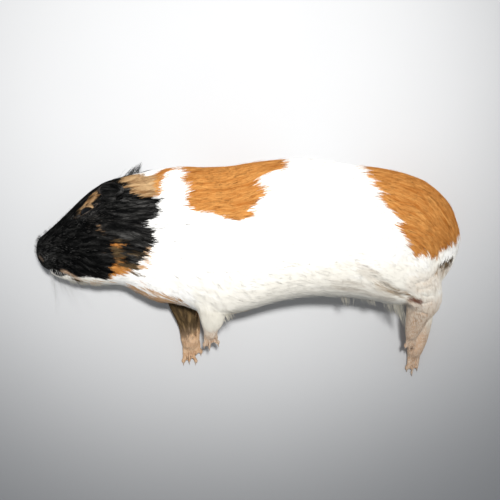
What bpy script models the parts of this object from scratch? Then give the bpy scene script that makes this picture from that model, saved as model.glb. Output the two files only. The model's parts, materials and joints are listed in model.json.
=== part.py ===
"""A guinea pig at life size, lying on its right side with its legs stretched out: a still museum model.

Units are metres, +Z is up. The nose points to -X, the back to +Y and the feet to -Y; the left flank is on
top. The body is modelled whole, out to the tips of the coat, and parted into head, neck, trunk and limbs by
thin cuts. Sizes below are in millimetres and are turned into metres where a shape is made.
"""

import math

import bmesh
import bpy
from mathutils import Matrix, Vector

MM = 0.001

# --- Driving sizes, in millimetres -------------------------------------------------------------

GAP = 0.35  # the thin cut that parts two neighbours
MIDDLE = (-0.94, -1.45)  # the middle of the finished outline, which is moved to the origin
BODY_VOXEL = 1.15  # the grid on which the blended body is rebuilt
BODY_SMOOTHING = 5  # passes that soften where limbs grow out of the body
BODY_TRIANGLES = 3900  # what the parted body may cost
RING_SIDES = 40
RING_STEPS = 4
SQUARENESS = 2.25  # 2 is an ellipse, more is boxier
BACK_NARROWING = 0.13  # how much slimmer a section is along the back than along the belly

# Sections from the nose to the rump: where along the body, the back's and belly's reach,
# the height of the midline above the floor, and half the thickness from flank to flank.
BODY_SECTIONS = {
    "nose_tip": (-129.1, 16.6, 7.6, 16.6, 5.6),
    "nostrils": (-127.4, 18.7, 3.6, 16.7, 9.4),
    "upper_lip": (-123.2, 22.5, -1.5, 16.9, 11.8),
    "muzzle": (-115.4, 29.3, -6.1, 17.4, 13.8),
    "bridge": (-106.0, 38.4, -8.4, 18.3, 16.6),
    "eyes": (-96.6, 46.8, -9.5, 19.5, 19.8),
    "ears": (-86.8, 52.8, -10.2, 20.6, 22.6),
    "crown": (-76.0, 55.8, -10.6, 21.6, 23.8),
    "nape": (-65.0, 58.4, -16.0, 23.0, 24.6),
    "neck": (-54.0, 60.0, -20.6, 25.0, 26.0),
    "withers": (-42.0, 61.6, -21.6, 27.6, 28.4),
    "shoulders": (-28.0, 60.8, -25.6, 29.8, 31.4),
    "chest": (-14.0, 61.2, -28.4, 31.4, 33.4),
    "ribs": (1.0, 63.2, -24.4, 33.0, 35.2),
    "last_rib": (16.0, 64.9, -19.9, 34.0, 36.4),
    "belly": (32.0, 65.5, -17.0, 34.4, 36.8),
    "loin": (47.0, 64.2, -16.4, 34.2, 36.6),
    "flank": (62.0, 61.8, -17.2, 33.6, 35.8),
    "hip": (77.0, 60.4, -19.4, 32.6, 34.6),
    "thigh": (91.0, 57.6, -21.6, 31.0, 32.6),
    "croup": (104.0, 53.2, -17.0, 29.2, 29.4),
    "seat": (114.0, 46.4, -9.2, 27.6, 23.6),
    "rump": (121.6, 37.4, 0.6, 26.4, 16.2),
    "rump_end": (125.4, 28.0, 12.6, 25.6, 9.4),
    "rump_tip": (127.2, 24.0, 17.6, 25.2, 4.2),
}

# Muscles that swell the trunk's surface: centre and the three half-widths of each.
MUSCLES = {
    "shoulder_left": ((-29.0, 14.0, 40.0), (19.0, 25.0, 22.6)),
    "thigh_left": ((90.0, 13.0, 38.0), (25.0, 29.0, 28.0)),
    "cheek_left": ((-86.0, 9.0, 26.0), (19.0, 14.0, 18.4)),
    "cheek_right": ((-86.0, 9.0, 15.0), (19.0, 14.0, 17.4)),
    "whisker_pad_left": ((-118.4, 6.4, 22.6), (8.4, 7.6, 7.6)),
    "whisker_pad_right": ((-118.4, 6.4, 11.2), (8.4, 7.6, 7.6)),
}

# Limbs as chains of joints: place and radius at each, from inside the body to the foot.
FORELEG_LEFT = {
    "shoulder": (-27.0, 2.0, 40.0, 15.0),
    "elbow": (-21.4, -17.0, 41.0, 10.8),
    "forearm": (-21.4, -27.5, 36.0, 8.4),
    "wrist": (-22.6, -34.6, 30.2, 5.4),
    "palm": (-22.8, -38.8, 27.4, 4.4),
}
FORELEG_RIGHT = {
    "shoulder": (-40.0, -2.0, 18.0, 14.0),
    "elbow": (-40.6, -17.0, 13.0, 10.8),
    "forearm": (-38.4, -27.0, 9.2, 8.6),
    "wrist": (-36.6, -37.0, 6.6, 6.7),
    "palm": (-36.4, -45.4, 5.4, 6.1),
}
HINDLEG_LEFT = {
    "hip": (92.0, 10.0, 37.0, 21.0),
    "knee": (99.0, -7.0, 41.0, 15.5),
    "shin": (104.0, -18.0, 37.0, 11.2),
    "ankle": (101.6, -27.0, 31.0, 7.8),
    "instep": (100.2, -34.5, 26.0, 6.0),
    "sole": (99.0, -39.8, 22.6, 4.7),
}
HINDLEG_RIGHT = {
    "hip": (99.0, 0.0, 20.0, 17.0),
    "knee": (105.0, -13.0, 14.5, 11.6),
    "shin": (107.2, -24.0, 9.5, 8.2),
    "ankle": (107.4, -32.5, 6.8, 7.2),
    "instep": (105.9, -43.0, 5.6, 6.3),
    "sole": (103.6, -51.2, 5.0, 5.6),
}

# Toes of each foot: where they leave the palm or sole, and where the flesh ends.
TOE_ROOT_RADIUS = 2.0
TOE_TIP_RADIUS = 1.6
TOES = {
    "fore_left": (
        ((-25.4, -39.6, 26.4), (-26.6, -46.2, 23.6)),
        ((-23.0, -40.6, 26.0), (-23.6, -47.6, 22.6)),
        ((-20.6, -39.6, 26.0), (-18.9, -45.2, 23.0)),
        ((-20.8, -37.4, 24.4), (-20.0, -42.0, 20.6)),
    ),
    "fore_right": (
        ((-39.9, -48.6, 3.6), (-40.6, -58.2, 2.1)),
        ((-36.8, -49.6, 3.8), (-37.0, -57.4, 2.9)),
        ((-33.8, -48.6, 3.8), (-33.3, -58.0, 2.1)),
        ((-32.2, -44.6, 5.2), (-30.3, -52.4, 2.8)),
    ),
    "hind_left": (
        ((97.6, -40.8, 22.0), (96.2, -46.8, 19.6)),
        ((99.2, -41.8, 21.2), (98.6, -48.2, 18.2)),
        ((101.2, -41.0, 21.4), (101.2, -47.0, 18.8)),
    ),
    "hind_right": (
        ((101.0, -52.6, 3.8), (99.6, -62.2, 2.1)),
        ((103.6, -53.8, 3.8), (102.6, -64.8, 2.1)),
        ((106.2, -52.6, 3.8), (105.8, -61.6, 2.2)),
    ),
}

# Claws: how far they stand out of the toe, how much they curve, and their girth.
CLAW_ROOT = 1.4  # length hidden in the toe
CLAW_RADIUS = 0.85
CLAW_TIP_RADIUS = 0.34
CLAW_REACH = {"fore_left": 2.2, "fore_right": 2.2, "hind_left": 2.1, "hind_right": 2.3}
CLAW_DROOP = {"fore_left": 0.7, "fore_right": 0.0, "hind_left": 0.7, "hind_right": 0.1}

# Eyes: nearly shut, the ball deep behind thick lids that leave a narrow slit.
EYE_PLACE = (-96.2, 32.6)
EYE_HEIGHT = {"left": 29.6, "right": 9.4}
EYE_RADIUS = 4.7
LID_THICKNESS = 1.0
SLIT_HALF_LENGTH = 6.0
SLIT_HALF_WIDTH = 2.1
SLIT_TILT = math.radians(15)
EYE_OUTWARD = {"left": (-0.22, 0.52, 0.82), "right": (-0.22, 0.52, -0.82)}

# Ears: thin cupped petals laid back along the head.
EAR_LENGTH = 18.0
EAR_WIDTH = 14.0
EAR_THICKNESS = 0.9
EAR_CUP = 3.0
EAR_SEGMENTS = 16
EAR_RINGS = 4
EAR_PLACES = {  # base, then where the tip points, then the way the open side faces
    "left": ((-89.4, 46.0, 34.2), (0.93, 0.06, 0.36), (-0.20, -0.10, 0.97)),
    "right": ((-87.0, 49.0, 10.8), (0.93, 0.24, -0.24), (-0.10, 0.30, -0.94)),
}

# Mouth: the cut that frees the lower jaw.
MOUTH_FRONT = (-124.0, -1.0)
MOUTH_CORNER = (-99.0, -6.2)
JAW_DEPTH = 14.0
JAW_RAKE = 0.8  # how far the jaw's end leans back

FUR_WHITE = (0.86, 0.84, 0.78)
FUR_BLACK = (0.012, 0.012, 0.014)
FUR_BROWN = (0.16, 0.08, 0.035)
SKIN_PINK = (0.50, 0.30, 0.22)
EYE_BLACK = (0.01, 0.009, 0.009)
CLAW_HORN = (0.42, 0.32, 0.22)


# --- Tools -------------------------------------------------------------------------------------


def clear_scene():
    for old in list(bpy.data.objects):
        bpy.data.objects.remove(old, do_unlink=True)


def collection(name):
    made = bpy.data.collections.new(name)
    bpy.context.scene.collection.children.link(made)
    return made


def material(name, colour, roughness):
    made = bpy.data.materials.new(name)
    made.use_nodes = True
    shader = made.node_tree.nodes["Principled BSDF"]
    shader.inputs["Base Color"].default_value = (*colour, 1.0)
    shader.inputs["Roughness"].default_value = roughness
    shader.inputs["Metallic"].default_value = 0.0
    return made


def object_from(bm, name, where):
    mesh = bpy.data.meshes.new(name)
    bm.to_mesh(mesh)
    bm.free()
    made = bpy.data.objects.new(name, mesh)
    where.objects.link(made)
    return made


def smooth_rows(rows, steps):
    """A Catmull-Rom curve through rows of numbers, with so many steps in each span."""
    ends = [rows[0], *rows, rows[-1]]
    out = []
    for a, b, c, d in zip(ends, ends[1:], ends[2:], ends[3:]):
        for step in range(steps):
            t = step / steps
            row = []
            for p, q, r, s in zip(a, b, c, d):
                bend = (2 * p - 5 * q + 4 * r - s) * t**2 + (3 * q - p - 3 * r + s) * t**3
                row.append(0.5 * (2 * q + (r - p) * t + bend))
            out.append(tuple(row))
    out.append(tuple(rows[-1]))
    return out


def evaluated_mesh(source):
    bpy.context.view_layer.update()
    graph = bpy.context.evaluated_depsgraph_get()
    return bpy.data.meshes.new_from_object(source.evaluated_get(graph))


def tube(rows, name, where, sides=3):
    """A closed tube through (x, y, z, radius) rows in millimetres: a bevelled curve, welded."""
    curve = bpy.data.curves.new(name, "CURVE")
    curve.dimensions = "3D"
    curve.bevel_depth = MM
    curve.bevel_resolution = sides
    curve.use_fill_caps = True
    spline = curve.splines.new("POLY")
    spline.points.add(len(rows) - 1)
    for point, (x, y, z, radius) in zip(spline.points, rows):
        point.co = (x * MM, y * MM, z * MM, 1.0)
        point.radius = radius
    drawn = bpy.data.objects.new(name, curve)
    where.objects.link(drawn)
    bm = bmesh.new()
    bm.from_mesh(evaluated_mesh(drawn))
    bpy.data.objects.remove(drawn, do_unlink=True)
    bmesh.ops.remove_doubles(bm, verts=bm.verts, dist=0.00001)
    bmesh.ops.recalc_face_normals(bm, faces=bm.faces)
    return object_from(bm, name, where)


def rounded_ends(rows):
    """Adds a small cap of shrinking rings to both ends of a chain of (x, y, z, radius)."""
    out = list(rows)
    for end, inner in ((0, 1), (-1, -2)):
        tip = Vector(rows[end][:3])
        radius = rows[end][3]
        way = (tip - Vector(rows[inner][:3])).normalized()
        rings = ((0.6, 0.8), (0.92, 0.4))
        caps = [(*(tip + way * radius * reach), radius * girth) for reach, girth in rings]
        out = out + caps if end else caps[::-1] + out
    return out


def ball(centre, radii, name, where, turn=None, segments=24):
    bm = bmesh.new()
    bmesh.ops.create_uvsphere(bm, u_segments=segments, v_segments=segments * 2 // 3, radius=1.0)
    place = Matrix.Translation(Vector(centre) * MM)
    turn = turn.to_4x4() if turn else Matrix.Identity(4)
    size = Matrix.Diagonal((*(r * MM for r in radii), 1.0))
    bmesh.ops.transform(bm, matrix=place @ turn @ size, verts=bm.verts)
    return object_from(bm, name, where)


def block(centre, size, name, where, turn=None):
    bm = bmesh.new()
    bmesh.ops.create_cube(bm, size=1.0)
    place = Matrix.Translation(Vector(centre) * MM)
    turn = turn.to_4x4() if turn else Matrix.Identity(4)
    stretch = Matrix.Diagonal((*(s * MM for s in size), 1.0))
    bmesh.ops.transform(bm, matrix=place @ turn @ stretch, verts=bm.verts)
    return object_from(bm, name, where)


def facing(normal, sideways):
    """A rotation whose Z axis is normal and whose X axis lies as near as it can to sideways."""
    z = Vector(normal).normalized()
    x = Vector(sideways)
    x = (x - z * x.dot(z)).normalized()
    return Matrix((x, z.cross(x), z)).transposed()


def as_cutter(cutter):
    cutter.hide_render = True
    cutter.display_type = "WIRE"


def cut(body, cutters):
    """Takes each cutter out of body, and applies it at once so that the body stays a plain mesh."""
    for cutter in cutters:
        as_cutter(cutter)
        difference = body.modifiers.new("cut", "BOOLEAN")
        difference.operation = "DIFFERENCE"
        difference.solver = "EXACT"
        difference.object = cutter
        mesh = evaluated_mesh(body)
        body.modifiers.remove(difference)
        body.data = mesh
    return body


# --- The whole body ----------------------------------------------------------------------------


def power(value, exponent):
    return math.copysign(abs(value) ** exponent, value)


def lofted_trunk(where):
    """Head, neck and trunk as one loft of rounded sections that stand across the body."""
    bm = bmesh.new()
    rings = []
    for x, back, belly, mid, half in smooth_rows(list(BODY_SECTIONS.values()), RING_STEPS):
        ring = []
        for side in range(RING_SIDES):
            angle = 2 * math.pi * side / RING_SIDES
            up = power(math.sin(angle), 2 / SQUARENESS)
            out = power(math.cos(angle), 2 / SQUARENESS)
            y = (back + belly) / 2 + (back - belly) / 2 * up
            z = mid + half * (1 - BACK_NARROWING * up) * out
            ring.append(bm.verts.new(Vector((x, y, z)) * MM))
        rings.append(ring)
    for ring, following in zip(rings, rings[1:]):
        for side in range(RING_SIDES):
            after = (side + 1) % RING_SIDES
            bm.faces.new((ring[side], ring[after], following[after], following[side]))
    bm.faces.new(rings[0])
    bm.faces.new(rings[-1])
    bmesh.ops.recalc_face_normals(bm, faces=bm.faces)
    return object_from(bm, "whole_body", where)


def joined(objects):
    """Several closed meshes as one object that still holds them as separate shells."""
    bm = bmesh.new()
    for part in objects:
        bm.from_mesh(part.data)
    whole = object_from(bm, objects[0].name, objects[0].users_collection[0])
    for part in objects:
        bpy.data.objects.remove(part, do_unlink=True)
    return whole


def whole_body(where):
    """Every fleshy form blended into one skin, then thinned to few triangles and laid flat on the floor."""
    forms = [lofted_trunk(where)]
    limbs = {
        "fore_left": FORELEG_LEFT,
        "fore_right": FORELEG_RIGHT,
        "hind_left": HINDLEG_LEFT,
        "hind_right": HINDLEG_RIGHT,
    }
    for name, limb in limbs.items():
        forms.append(tube(rounded_ends(smooth_rows(list(limb.values()), 4)), name, where))
        for root, tip in TOES[name]:
            rows = rounded_ends([(*root, TOE_ROOT_RADIUS), (*tip, TOE_TIP_RADIUS)])
            forms.append(tube(rows, name, where))
    for name, (centre, radii) in MUSCLES.items():
        forms.append(ball(centre, radii, name, where))
    for side, height in EYE_HEIGHT.items():
        forms.append(ball((*EYE_PLACE, height), [EYE_RADIUS + LID_THICKNESS] * 3, "lids_" + side, where))
    body = joined(forms)

    remesh = body.modifiers.new("blend", "REMESH")
    remesh.mode = "VOXEL"
    remesh.voxel_size = BODY_VOXEL * MM
    soften = body.modifiers.new("soften", "SMOOTH")
    soften.factor = 0.5
    soften.iterations = BODY_SMOOTHING
    body.data = evaluated_mesh(body)
    body.modifiers.clear()
    body.data.calc_loop_triangles()
    thin = body.modifiers.new("thin", "DECIMATE")
    thin.ratio = BODY_TRIANGLES / len(body.data.loop_triangles)
    thin.use_collapse_triangulate = True
    body.data = evaluated_mesh(body)
    body.modifiers.clear()
    floor = block((0.0, 0.0, -50.0), (400.0, 400.0, 100.0), "floor", where)
    return cut(body, [floor])


# --- Eyes, ears and claws ----------------------------------------------------------------------


def make_eye(side, model, cutters):
    """The eyeball, and the two cutters that make room for it: its socket and the slit between the lids."""
    centre = (*EYE_PLACE, EYE_HEIGHT[side])
    eye = ball(centre, [EYE_RADIUS] * 3, "eye_" + side, model, segments=15)
    socket = ball(centre, [EYE_RADIUS + GAP] * 3, "socket_" + side, cutters, segments=15)
    outward = Vector(EYE_OUTWARD[side]).normalized()
    along = (math.cos(SLIT_TILT), math.sin(SLIT_TILT), 0.0)
    slit_centre = Vector(centre) + outward * (EYE_RADIUS + LID_THICKNESS)
    slit = ball(
        slit_centre,
        (SLIT_HALF_LENGTH, SLIT_HALF_WIDTH, EYE_RADIUS),
        "slit_" + side,
        cutters,
        turn=facing(outward, along),
        segments=18,
    )
    return eye, [socket, slit]


def ear_petal(side, name, where, grown=0.0):
    """A cupped leaf: a disc drawn out, hollowed and thickened both ways; grown widens it all round."""
    base, tip_way, open_way = (Vector(v) for v in EAR_PLACES[side])
    length_way = tip_way.normalized()
    hollow_way = (open_way - length_way * open_way.dot(length_way)).normalized()
    width_way = length_way.cross(hollow_way)
    bm = bmesh.new()
    bmesh.ops.create_circle(bm, cap_ends=True, cap_tris=True, segments=EAR_SEGMENTS, radius=1.0)
    spokes = [e for e in bm.edges if any(v.co.length < 0.5 for v in e.verts)]
    bmesh.ops.subdivide_edges(bm, edges=spokes, cuts=EAR_RINGS - 1, use_grid_fill=True)
    bmesh.ops.triangulate(bm, faces=[f for f in bm.faces if len(f.verts) > 4])
    for vert in bm.verts:
        along, across = vert.co.x, vert.co.y
        reach = (along + 1) / 2 * EAR_LENGTH + along * grown
        fullness = 0.62 + 0.38 * math.sin(math.pi * (0.5 + 0.25 * along))
        breadth = across * (EAR_WIDTH / 2 + grown) * fullness
        sink = EAR_CUP * (1 - along**2 * 0.6 - across**2)
        curl = 0.035 * max(0.0, reach - 0.55 * EAR_LENGTH) ** 2
        lift = curl - sink + EAR_CUP * 0.5
        vert.co = (base + length_way * reach + width_way * breadth + hollow_way * lift) * MM
    bmesh.ops.recalc_face_normals(bm, faces=bm.faces)
    ear = object_from(bm, name, where)
    shell = ear.modifiers.new("thickness", "SOLIDIFY")
    shell.thickness = (EAR_THICKNESS + 2 * grown) * MM
    shell.offset = 0.0
    shell.use_even_offset = True
    return ear


def make_claw(foot, number, root, tip, model, cutters):
    """A tapering claw that curves towards the floor, and a fatter copy that opens its bed in the toe."""
    way = (Vector(tip) - Vector(root)).normalized()
    end = Vector(tip) + way * TOE_TIP_RADIUS * 0.8
    reach = CLAW_REACH[foot]
    rows = []
    for step in range(4):
        share = step / 3
        spot = end + way * (reach * share - CLAW_ROOT * (1 - share))
        spot.z -= CLAW_DROOP[foot] * share**2
        rows.append((*spot, CLAW_RADIUS + (CLAW_TIP_RADIUS - CLAW_RADIUS) * share**1.3))
    claw = tube(rows, f"claw_{foot}_{number}", model, sides=1)
    bed_start = (*(Vector(rows[0][:3]) - way * GAP), rows[0][3] + GAP)
    bed_rows = [bed_start] + [(*row[:3], row[3] + GAP) for row in rows]
    return claw, tube(bed_rows, f"bed_{foot}_{number}", cutters, sides=1)


# --- Thin cuts between the parts ---------------------------------------------------------------

# Each cut: its centre, the way across it, and how wide the blade is.
CUTS = {
    "head_neck": ((-71.0, 22.0, 22.0), (1.0, -0.16, 0.0), (100.0, 80.0)),
    "neck_trunk": ((-45.0, 20.0, 27.0), (1.0, -0.10, 0.0), (104.0, 84.0)),
    "shoulder_left": ((-22.0, -27.4, 37.5), (0.0, 0.97, -0.22), (34.0, 30.0)),
    "wrist_left": ((-23.0, -36.4, 29.2), (0.0, 0.84, 0.54), (15.0, 15.0)),
    "shoulder_right": ((-38.6, -23.6, 9.6), (-0.12, 0.96, 0.22), (26.0, 24.0)),
    "wrist_right": ((-36.6, -35.6, 6.6), (0.0, 1.0, 0.10), (18.0, 18.0)),
    "hip_left": ((103.5, -21.0, 39.0), (0.0, 0.98, -0.14), (40.0, 36.0)),
    "ankle_left": ((101.4, -29.6, 29.0), (0.16, 0.84, 0.52), (20.0, 20.0)),
    "hip_right": ((106.8, -21.6, 10.0), (-0.10, 0.97, 0.10), (30.0, 24.0)),
    "ankle_right": ((106.6, -33.0, 6.6), (0.20, 0.98, 0.0), (20.0, 18.0)),
}

SHAVING = 15.0  # what the ear beds shave off is smaller than this, and is dropped

# A spot inside each part, by which it is known after the cuts.
PART_SPOTS = {
    "head": (-95.0, 20.0, 20.0),
    "lower_jaw": (-110.0, -7.0, 17.5),
    "neck": (-58.0, 20.0, 25.0),
    "trunk": (30.0, 25.0, 34.0),
    "foreleg_left": (-22.2, -31.0, 33.5),
    "forepaw_left": (-23.0, -41.5, 26.0),
    "foreleg_right": (-36.4, -31.0, 8.0),
    "forepaw_right": (-35.2, -46.5, 5.0),
    "hindleg_left": (103.0, -23.0, 34.0),
    "hindfoot_left": (98.0, -37.0, 24.0),
    "hindleg_right": (107.0, -28.0, 8.0),
    "hindfoot_right": (101.6, -48.0, 5.0),
}


def blades(where):
    made = []
    for name, (centre, across, (tall, wide)) in CUTS.items():
        turn = facing(across, (0.0, 0.0, 1.0))
        made.append(block(centre, (wide, tall, GAP), "blade_" + name, where, turn=turn))
    front, corner = Vector((*MOUTH_FRONT, 0)), Vector((*MOUTH_CORNER, 0))
    line = corner - front
    under = Vector((line.y, -line.x, 0)).normalized()
    middle = (front + corner) / 2 + Vector((0, 0, 17.0))
    turn = facing(under, line)
    made.append(block(middle, (line.length + GAP, 60.0, GAP), "blade_mouth", where, turn=turn))
    jaw_end = (under + line.normalized() * JAW_RAKE).normalized()
    behind = corner + jaw_end * JAW_DEPTH / 2 + Vector((0, 0, 17.0))
    turn = facing(under.cross(jaw_end).cross(jaw_end), jaw_end)
    made.append(block(behind, (JAW_DEPTH + GAP, 60.0, GAP), "blade_jaw", where, turn=turn))
    return made


def islands(bm):
    """The separate shells of a mesh, each as a set of its vertices."""
    left = set(bm.verts)
    while left:
        found = {left.pop()}
        edge_of = list(found)
        while edge_of:
            vert = edge_of.pop()
            for edge in vert.link_edges:
                other = edge.other_vert(vert)
                if other in left:
                    left.remove(other)
                    found.add(other)
                    edge_of.append(other)
        yield found


def extent(shell):
    """The lowest and highest corner of a shell."""
    low = Vector(min(v.co[i] for v in shell) for i in range(3))
    high = Vector(max(v.co[i] for v in shell) for i in range(3))
    return low, high


def part_body(body, model):
    """Splits the cut body into its named parts: each spot takes the shell whose middle lies nearest."""
    bm = bmesh.new()
    bm.from_mesh(body.data)
    shells = []
    for shell in islands(bm):
        low, high = extent(shell)
        if (high - low).length > SHAVING * MM:
            shells.append(((low + high) / 2, {v.index for v in shell}))
    parts = {}
    for name, spot in PART_SPOTS.items():
        middle, kept = min(shells, key=lambda shell: (shell[0] - Vector(spot) * MM).length)
        shells.remove((middle, kept))
        copy = bm.copy()
        bmesh.ops.delete(copy, geom=[v for v in copy.verts if v.index not in kept], context="VERTS")
        parts[name] = object_from(copy, name, model)
    bm.free()
    bpy.data.objects.remove(body, do_unlink=True)
    return parts


def paint(shown, finish):
    shown.data.materials.clear()
    shown.data.materials.append(finish)
    shown.data.shade_smooth()
    shown.data.set_sharp_from_angle(angle=math.radians(40))


def main():
    clear_scene()
    model = collection("guinea_pig")
    cutters = collection("cutters")

    white = material("white_fur", FUR_WHITE, 0.75)
    black = material("black_fur", FUR_BLACK, 0.6)
    brown = material("brown_fur", FUR_BROWN, 0.7)
    pink = material("bare_skin", SKIN_PINK, 0.5)
    dark = material("eye", EYE_BLACK, 0.08)
    horn = material("claw", CLAW_HORN, 0.35)

    body = whole_body(cutters)
    openings = blades(cutters)
    for side in ("left", "right"):
        eye, eye_openings = make_eye(side, model, cutters)
        paint(eye, dark)
        openings += eye_openings
        paint(ear_petal(side, "ear_" + side, model), black)
        openings.append(ear_petal(side, "ear_bed_" + side, cutters, grown=1.5 * GAP))
    for foot, toes in TOES.items():
        for number, (root, tip) in enumerate(toes, 1):
            claw, bed = make_claw(foot, number, root, tip, model, cutters)
            paint(claw, horn)
            openings.append(bed)

    furs = {"head": black, "foreleg_right": brown, "forepaw_right": pink, "forepaw_left": pink}
    furs.update(hindfoot_left=pink, hindfoot_right=pink)
    for name, part in part_body(cut(body, openings), model).items():
        paint(part, furs.get(name, white))
    for shown in model.objects:
        shown.data.transform(Matrix.Translation((-MIDDLE[0] * MM, -MIDDLE[1] * MM, 0.0)))


main()
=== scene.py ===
import json
import math

import bmesh
import bpy
import numpy as np
from mathutils import Matrix, Vector
from mathutils.bvhtree import BVHTree
from mathutils.kdtree import KDTree

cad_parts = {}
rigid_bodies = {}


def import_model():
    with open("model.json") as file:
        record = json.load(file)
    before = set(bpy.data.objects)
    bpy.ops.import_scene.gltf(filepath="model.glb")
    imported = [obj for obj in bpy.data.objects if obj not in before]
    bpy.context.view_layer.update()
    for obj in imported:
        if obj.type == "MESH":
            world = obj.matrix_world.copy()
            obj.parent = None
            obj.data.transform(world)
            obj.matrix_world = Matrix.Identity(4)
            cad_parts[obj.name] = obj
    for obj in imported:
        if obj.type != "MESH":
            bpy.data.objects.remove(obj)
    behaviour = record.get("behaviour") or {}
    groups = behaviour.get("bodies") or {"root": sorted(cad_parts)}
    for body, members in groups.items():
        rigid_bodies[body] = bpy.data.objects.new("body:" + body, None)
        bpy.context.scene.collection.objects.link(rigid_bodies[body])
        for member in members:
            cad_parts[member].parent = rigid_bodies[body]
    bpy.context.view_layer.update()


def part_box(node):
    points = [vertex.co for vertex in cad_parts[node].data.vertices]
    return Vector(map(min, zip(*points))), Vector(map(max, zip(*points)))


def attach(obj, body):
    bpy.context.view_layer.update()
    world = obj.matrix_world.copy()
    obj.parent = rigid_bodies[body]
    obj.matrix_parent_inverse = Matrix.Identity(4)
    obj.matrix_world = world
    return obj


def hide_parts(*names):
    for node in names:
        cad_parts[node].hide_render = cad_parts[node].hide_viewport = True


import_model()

# ------------------------------
# The hide: head, neck, trunk, legs and feet under one skin with no seams.
# It is laid over the solids' forms, sunk by the depth of the coat, and then modelled one by one:
# mouth, nostrils, eyelids, groin folds, toe pads.

MM = 0.001
scene = bpy.context.scene
HIDE_NODES = ["head", "lower_jaw", "neck", "trunk"]
SIDES = ("left", "right")
LIMBS_OF_NODES = ("foreleg_", "forepaw_", "hindleg_", "hindfoot_")
HIDE_NODES += [limb + side for limb in LIMBS_OF_NODES for side in SIDES]
SWELL = 0.25  # closes the thin cuts between the solids
TOE_SHRINK = 0.35  # frees the toes from one another
HIDE_GRAIN = 0.46  # how fine the skin is while it is modelled
HIDE_TRIANGLES = 172000
SAME_SPOT = 0.000002  # corners closer than this are one

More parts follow.
